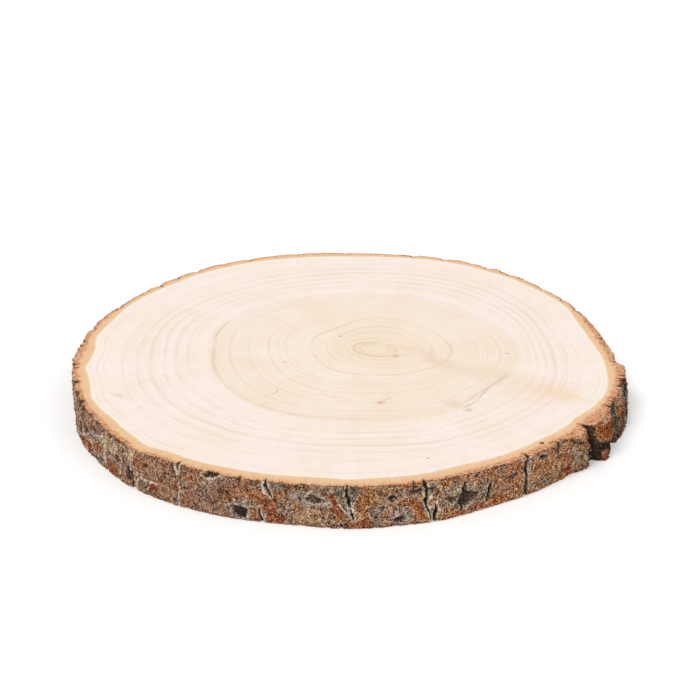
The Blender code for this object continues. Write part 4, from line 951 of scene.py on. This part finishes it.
# Pits and scratches in the cut bark: (x, y, half length, half width, turn, strength, colour).
CORK_MARKS = [
    (98.3, -98.0, 1.5, 1.1, 30, 1.0, (92, 40, 28)), (103.5, -97.0, 2.0, 0.5, 30, 0.8, (120, 66, 42)), (108.0, -94.5, 1.2, 0.6, 50, 0.8, (128, 70, 46)),
    (114.0, -88.0, 2.2, 0.6, 60, 0.7, (150, 92, 62)), (125.5, -74.0, 2.6, 0.6, 35, 0.7, (150, 88, 58)), (131.0, -68.0, 1.6, 0.7, 70, 0.7, (136, 78, 52)),
    (139.5, -52.0, 2.0, 0.6, 20, 0.8, (120, 70, 48)), (143.6, -38.0, 2.2, 0.5, 10, 0.8, (112, 64, 44)), (145.5, -25.0, 2.4, 0.6, 5, 0.8, (112, 64, 44)),
    (-146.0, -12.0, 1.6, 0.7, 10, 0.8, (110, 70, 50)), (-144.5, -30.0, 1.6, 0.6, 20, 0.7, (120, 76, 54)), (-137.0, -55.0, 2.4, 0.5, 60, 0.7, (136, 84, 58)),
    (-38.5, -138.5, 1.6, 0.5, 10, 0.7, (150, 96, 66)), (36.5, -137.5, 1.2, 0.5, 80, 0.7, (130, 80, 56)),
]


def cut_bark_material():
    """The sawn bast and bark between the wood and the outer bark."""
    m = Nodes("cut_bast_and_bark")
    bast = m.attribute("bast")
    edge = m.attribute("edge")
    away = m.vector("NORMALIZE", m.vector("SUBTRACT", m.coords(), (PITH[0], PITH[1], 0.0)))
    fibre = m.noise(0.012, 2.0, 0.5, vector=away)
    grain = m.noise(0.9, 3.0, 0.65, distortion=1.0)
    fine = m.noise(0.4, 2.0, 0.6)
    soft = m.noise(5.0, 2.0, 0.5)
    t = m.math("ADD", bast, m.math("MULTIPLY", m.math("SUBTRACT", soft, 0.5), 0.5))
    colour = m.ramp(t, [(0.0, srgb(246, 212, 174)), (0.12, srgb(243, 203, 162)), (0.45, srgb(241, 197, 152)),
                        (0.70, srgb(237, 189, 144)), (0.90, srgb(226, 168, 122)), (1.0, srgb(210, 146, 102))])
    colour = m.mix(m.span(fibre, 0.44, 0.60, 0.0, 0.35), colour, srgb(250, 216, 172))
    colour = m.mix(m.span(grain, 0.52, 0.36, 0.0, 0.40), colour, srgb(212, 150, 106))
    # coarse brown cork outside the bast
    limit = m.math("SUBTRACT", 1.0, m.attribute("cork"))
    ragged = m.math("ADD", m.math("ADD", bast, m.math("MULTIPLY", m.math("SUBTRACT", soft, 0.5), 0.55)),
                    m.math("MULTIPLY", m.math("SUBTRACT", grain, 0.5), 0.45))
    outer = m.span(m.math("SUBTRACT", ragged, limit), -0.05, 0.09)
    tone = m.math("ADD", m.math("MULTIPLY", m.math("SUBTRACT", m.math("ADD", m.math("MULTIPLY", grain, 0.6), m.math("MULTIPLY", fine, 0.4)), 0.5), 4.2), 0.5, clamp=True)
    corky = m.ramp(tone, [(0.02, srgb(104, 58, 36)), (0.26, srgb(186, 118, 74)), (0.52, srgb(226, 160, 112)), (0.75, srgb(242, 192, 150)), (0.98, srgb(250, 220, 190))])
    colour = m.mix(outer, colour, corky)
    for x, y, length, width, turned, strength, tint in CORK_MARKS:
        n = m.node("ShaderNodeMapping", vector_type="TEXTURE")
        m.put(n.inputs["Vector"], m.coords())
        n.inputs["Location"].default_value = (x, y, 0.0)
        n.inputs["Rotation"].default_value = (0.0, 0.0, math.radians(turned))
        n.inputs["Scale"].default_value = (length, width, 1000.0)
        colour = m.mix(m.span(m.vector("LENGTH", n.outputs[0]), 1.3, 0.5, 0.0, strength), colour, srgb(*tint))
    # a thin dark red-brown skin at the outer edge; the notches where the bark's cracks and dark patches reach the edge
    # are darkened, partly their own dark colour and partly painted shade
    skin = m.span(m.math("ADD", edge, m.math("MULTIPLY", m.math("SUBTRACT", grain, 0.5), 2.2)), 0.60, 0.0)
    colour = m.mix(skin, colour, m.ramp(grain, [(0.35, srgb(104, 56, 36)), (0.62, srgb(184, 116, 78))]))
    colour = m.mix(m.math("MULTIPLY", m.math("MAXIMUM", m.attribute("dark"), m.attribute("black")), m.span(edge, 3.2, 0.3)), colour, srgb(92, 58, 40))
    # painted shade in the notches of the cracks
    colour = m.mix(m.math("MULTIPLY", m.math("MULTIPLY", m.attribute("crack"), 0.8), m.span(edge, 2.6, 0.5)), colour, srgb(70, 42, 30))
    m.put(m.shader.inputs["Base Color"], colour)
    m.shader.inputs["Roughness"].default_value = 0.82
    m.shader.inputs["Specular IOR Level"].default_value = 0.25
    m.put(m.shader.inputs["Normal"], m.bump(m.math("ADD", grain, m.math("MULTIPLY", fine, 0.6)), 0.6, 0.35))
    return m.material


# Marks on the sawn faces: (x, y, half length, half width, turn in degrees, strength, colour).
MARKS = [
    (26.0, 2.0, 1.7, 1.3, 0, 0.9, (200, 166, 136)), (34.0, 10.0, 11.0, 4.6, -28, 0.50, (242, 214, 190)), (44.0, 6.0, 4.0, 9.0, 20, 0.38, (240, 212, 188)),
    (46.0, -3.0, 6.5, 4.0, -62, 0.45, (238, 208, 184)), (52.0, -8.0, 8.0, 6.0, -30, 0.55, (238, 208, 182)), (60.0, -14.0, 11.0, 7.0, -20, 0.36, (240, 214, 186)),
    (76.0, -18.0, 17.0, 10.0, -35, 0.40, (240, 216, 182)), (30.0, 3.5, 4.0, 1.0, -20, 0.45, (224, 192, 164)), (38.0, 14.0, 5.0, 1.0, 50, 0.35, (232, 202, 176)),
    (84.0, -22.0, 5.0, 0.7, 40, 0.45, (222, 198, 168)), (20.0, 22.0, 9.0, 0.6, 12, 0.35, (230, 204, 176)), (2.0, 4.0, 6.0, 0.6, 78, 0.35, (230, 204, 176)),
    (64.0, -55.5, 6.5, 0.75, 48, 0.75, (206, 184, 164)), (71.5, -42.5, 8.6, 0.7, 64, 0.7, (206, 184, 164)), (81.5, -27.5, 10.0, 0.7, 49, 0.6, (212, 190, 170)),
    (55.0, -55.0, 7.0, 3.8, -40, 0.42, (224, 202, 180)), (17.0, -53.0, 2.6, 2.3, 0, 0.8, (226, 190, 164)), (17.2, -53.2, 0.9, 0.8, 0, 0.8, (190, 148, 120)),
    (20.2, -49.8, 4.6, 1.2, 45, 0.55, (232, 198, 172)), (-13.0, -43.6, 3.0, 0.7, -18, 0.5, (230, 192, 172)), (-9.0, -46.0, 3.0, 0.7, -24, 0.55, (228, 190, 170)),
    (-4.0, -48.0, 3.2, 0.7, -20, 0.5, (230, 192, 172)), (1.0, -50.2, 2.6, 0.6, -28, 0.45, (230, 194, 174)), (-38.0, -41.0, 3.8, 0.7, 56, 0.6, (206, 166, 156)),
    (118.5, -45.0, 9.0, 1.4, -38, 0.6, (250, 226, 180)), (110.0, -42.0, 14.0, 7.5, -36, 0.5, (248, 216, 182)), (98.0, -38.0, 26.0, 17.0, -35, 0.34, (248, 214, 184)),
    (-121.0, -45.0, 4.4, 1.7, -34, 0.55, (216, 190, 166)), (-4.0, 27.0, 0.8, 0.7, 0, 0.8, (170, 128, 104)), (-34.0, -5.0, 0.8, 0.7, 0, 0.7, (180, 140, 116)),
    (40.0, -114.0, 0.8, 0.7, 0, 0.8, (160, 120, 96)), (87.0, 5.0, 0.8, 0.7, 0, 0.7, (180, 140, 116)), (63.0, -61.5, 1.9, 1.5, 0, 0.6, (196, 160, 134)),
    (-86.0, 46.0, 6.0, 1.0, 24, 0.30, (232, 206, 186)), (92.0, 62.0, 7.0, 1.3, -52, 0.30, (236, 208, 184)), (-60.0, -70.0, 8.0, 1.0, -40, 0.28, (232, 206, 184)),
]


def end_grain_material():
    m = Nodes("end_grain")
    place = m.coords()
    drift = m.math("MULTIPLY", m.math("SUBTRACT", m.noise(20.0, 2.0, 0.5), 0.5), 0.012)
    ring = m.math("ADD", m.attribute("ring"), drift)
    patchy = m.noise(30.0, 2.0, 0.55)
    sap = m.mix(m.span(patchy, 0.38, 0.62), srgb(254, 240, 233), srgb(253, 238, 225))
    heart = m.mix(m.span(patchy, 0.36, 0.64), srgb(253, 237, 222), srgb(251, 233, 214))
    colour = m.mix(m.span(m.math("ADD", m.attribute("heart"), m.math("MULTIPLY", m.math("SUBTRACT", m.noise(9.0, 2.0), 0.5), 5.0)), 3.0, -3.5), sap, heart)
    colour = m.mix(m.span(ring, 0.34, 0.05, 0.0, 0.9), colour, srgb(249, 229, 204))

    def thread(cycles, offset):
        """Noise along the way out from the pith, so that it makes uneven rings."""
        n = m.node("ShaderNodeTexNoise", noise_dimensions="1D")
        m.put(n.inputs["W"], m.math("ADD", m.math("MULTIPLY", ring, cycles), offset))
        n.inputs["Scale"].default_value = 1.0
        n.inputs["Detail"].default_value = 1.0
        return n.outputs["Fac"]

    # uneven annual rings, fading in and out along their length
    come_and_go = m.span(m.noise(24.0, 2.0, 0.6), 0.36, 0.64, 0.25, 1.0)
    colour = m.mix(m.math("MULTIPLY", m.span(thread(62.0, 3.1), 0.54, 0.68, 0.0, 0.26), come_and_go), colour, srgb(230, 200, 172))
    colour = m.mix(m.math("MULTIPLY", m.span(thread(120.0, 40.7), 0.55, 0.70, 0.0, 0.16), m.span(m.noise(13.0, 2.0), 0.4, 0.62)), colour, srgb(226, 196, 168))
    colour = m.mix(m.span(thread(17.0, 71.3), 0.54, 0.68, 0.0, 0.10), colour, srgb(236, 208, 180))
    # the rings that show strongly: soft on the inside, crisp on the outside
    total = None
    for where, amount, soft in ((0.058, 0.5, 0.012), (0.085, 0.9, 0.02), (0.118, 0.4, 0.012), (0.16, 0.22, 0.012), (0.205, 0.20, 0.012), (0.270, 0.45, 0.02), (0.335, 0.14, 0.01),
                                (0.395, 0.18, 0.012), (0.452, 0.20, 0.012), (0.500, 0.26, 0.012), (0.620, 0.22, 0.012), (0.680, 0.34, 0.014), (0.720, 0.44, 0.016),
                                (0.775, 0.46, 0.016), (0.830, 0.42, 0.016), (0.885, 0.12, 0.01), (0.962, 0.26, 0.008)):
        inside = m.span(m.math("SUBTRACT", ring, where), -soft, 0.0, 0.0, amount)
        line = m.math("MULTIPLY", inside, m.span(m.math("SUBTRACT", ring, where), 0.0045, 0.0005))
        total = line if total is None else m.math("MAXIMUM", total, line)
    dark_edge = m.math("MULTIPLY", m.span(m.math("SUBTRACT", ring, 0.560), -0.016, 0.0, 0.0, 0.85), m.span(m.math("SUBTRACT", ring, 0.560), 0.0050, 0.0005))
    dark_edge = m.math("MULTIPLY", dark_edge, m.span(m.attribute("sector"), 0.0, 1.0, 0.22, 1.0))
    broken = m.span(m.noise(26.0, 2.0, 0.6), 0.36, 0.58, 0.30, 1.0)
    colour = m.mix(m.math("MULTIPLY", m.math("MAXIMUM", m.math("MULTIPLY", total, 0.62), m.math("MULTIPLY", dark_edge, 0.55)), broken), colour, srgb(216, 184, 150))
    # smudges, knots and scratches
    loose = m.vector("ADD", place, m.vector("SCALE", m.vector("SUBTRACT", m.colour_noise(3.5), (0.5, 0.5, 0.5)), scale=2.2))
    for x, y, length, width, turned, strength, tint in MARKS:
        n = m.node("ShaderNodeMapping", vector_type="TEXTURE")
        m.put(n.inputs["Vector"], loose)
        n.inputs["Location"].default_value = (x, y, 0.0)
        n.inputs["Rotation"].default_value = (0.0, 0.0, math.radians(turned))
        n.inputs["Scale"].default_value = (length, width, 1000.0)
        colour = m.mix(m.span(m.vector("LENGTH", n.outputs[0]), 1.5, 0.1, 0.0, strength), colour, srgb(*tint))
    # pale new wood under the bast
    colour = m.mix(m.span(ring, 0.985, 0.992, 0.0, 0.6), colour, srgb(255, 247, 232))
    colour = m.mix(m.math("MULTIPLY", m.span(ring, 0.994, 0.9985), 0.5), colour, srgb(238, 198, 156))
    # rays, pores and faint saw marks
    away = m.vector("NORMALIZE", m.vector("SUBTRACT", place, (PITH[0], PITH[1], 0.0)))
    rays = m.noise(0.016, 2.0, 0.5, vector=away)
    colour = m.mix(m.span(rays, 0.46, 0.64, 0.0, 0.07), colour, srgb(228, 198, 172))
    pores = m.noise(0.8, 2.0, 0.6)
    colour = m.mix(m.span(pores, 0.52, 0.72, 0.0, 0.22), colour, srgb(220, 188, 158))
    colour = m.mix(m.span(m.noise(7.0, 3.0, 0.6), 0.5, 0.72, 0.0, 0.14), colour, srgb(236, 212, 190))
    m.put(m.shader.inputs["Base Color"], colour)
    m.put(m.shader.inputs["Roughness"], m.span(pores, 0.3, 0.7, 0.64, 0.76))
    m.shader.inputs["Specular IOR Level"].default_value = 0.22
    m.put(m.shader.inputs["Normal"], m.bump(m.math("ADD", pores, m.math("MULTIPLY", thread(62.0, 3.1), 0.3)), 0.12, 0.12))
    return m.material


for material in (end_grain_material(), cut_bark_material(), bark_material()):
    mesh.materials.append(material)

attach(piece, "root")
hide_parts("wood_slice")

# =================================================================================
# Floor, light and camera
# =================================================================================
floor_mesh = bpy.data.meshes.new("floor")
bm = bmesh.new()
bmesh.ops.create_circle(bm, cap_ends=True, segments=96, radius=14.0)
bm.to_mesh(floor_mesh)
bm.free()
floor = bpy.data.objects.new("floor", floor_mesh)
floor.location = (0.0, 0.0, LOW[2] * MM - 0.0002)
bpy.context.scene.collection.objects.link(floor)
f = Nodes("pale_floor")
f.shader.inputs["Base Color"].default_value = (0.85, 0.85, 0.85, 1.0)
f.shader.inputs["Emission Color"].default_value = (1.0, 1.0, 1.0, 1.0)
f.shader.inputs["Emission Strength"].default_value = 0.24
f.shader.inputs["Roughness"].default_value = 0.9
f.shader.inputs["Specular IOR Level"].default_value = 0.0
floor_mesh.materials.append(f.material)

world = bpy.data.worlds.new("studio")
bpy.context.scene.world = world
world.use_nodes = True
tree = world.node_tree
background = tree.nodes["Background"]
background.inputs["Color"].default_value = (1.0, 1.0, 1.0, 1.0)
background.inputs["Strength"].default_value = 0.55
seen = tree.nodes.new("ShaderNodeBackground")
seen.inputs["Color"].default_value = (1.0, 1.0, 1.0, 1.0)
seen.inputs["Strength"].default_value = 1.0
path = tree.nodes.new("ShaderNodeLightPath")
choose = tree.nodes.new("ShaderNodeMixShader")
tree.links.new(path.outputs["Is Camera Ray"], choose.inputs[0])
tree.links.new(background.outputs[0], choose.inputs[1])
tree.links.new(seen.outputs[0], choose.inputs[2])
tree.links.new(choose.outputs[0], tree.nodes["World Output"].inputs["Surface"])


def sun(name, direction, strength, angle):
    """A soft far light shining from a direction."""
    light = bpy.data.lights.new(name, "SUN")
    light.energy = strength
    light.angle = math.radians(angle)
    ob = bpy.data.objects.new(name, light)
    ob.rotation_euler = Vector(direction).to_track_quat("Z", "Y").to_euler()
    bpy.context.scene.collection.objects.link(ob)


sun("key", (-0.45, -0.60, 1.0), 1.45, 24.0)
sun("fill", (0.8, -0.5, 0.9), 0.40, 60.0)

CAMERA_ELEVATION = 26.0
CAMERA_DISTANCE = 1278.2     # from the middle of the top face
CAMERA_AIM = (1.12, 9.57, THICKNESS)
camera_data = bpy.data.cameras.new("camera")
camera_data.lens = 120.0
camera_data.sensor_width = 36.0
camera_data.clip_start = 0.05
camera_data.clip_end = 60.0
camera = bpy.data.objects.new("camera", camera_data)
e = math.radians(CAMERA_ELEVATION)
offset = Vector((0.0, -math.cos(e), math.sin(e))) * CAMERA_DISTANCE
camera.location = (Vector(CAMERA_AIM) + offset) * MM + Vector((0, 0, LOW[2] * MM))
camera.rotation_euler = offset.to_track_quat("Z", "Y").to_euler()
bpy.context.scene.collection.objects.link(camera)
bpy.context.scene.camera = camera

bpy.context.scene.view_settings.view_transform = "Standard"
bpy.context.scene.view_settings.look = "None"

bpy.context.view_layer.update()
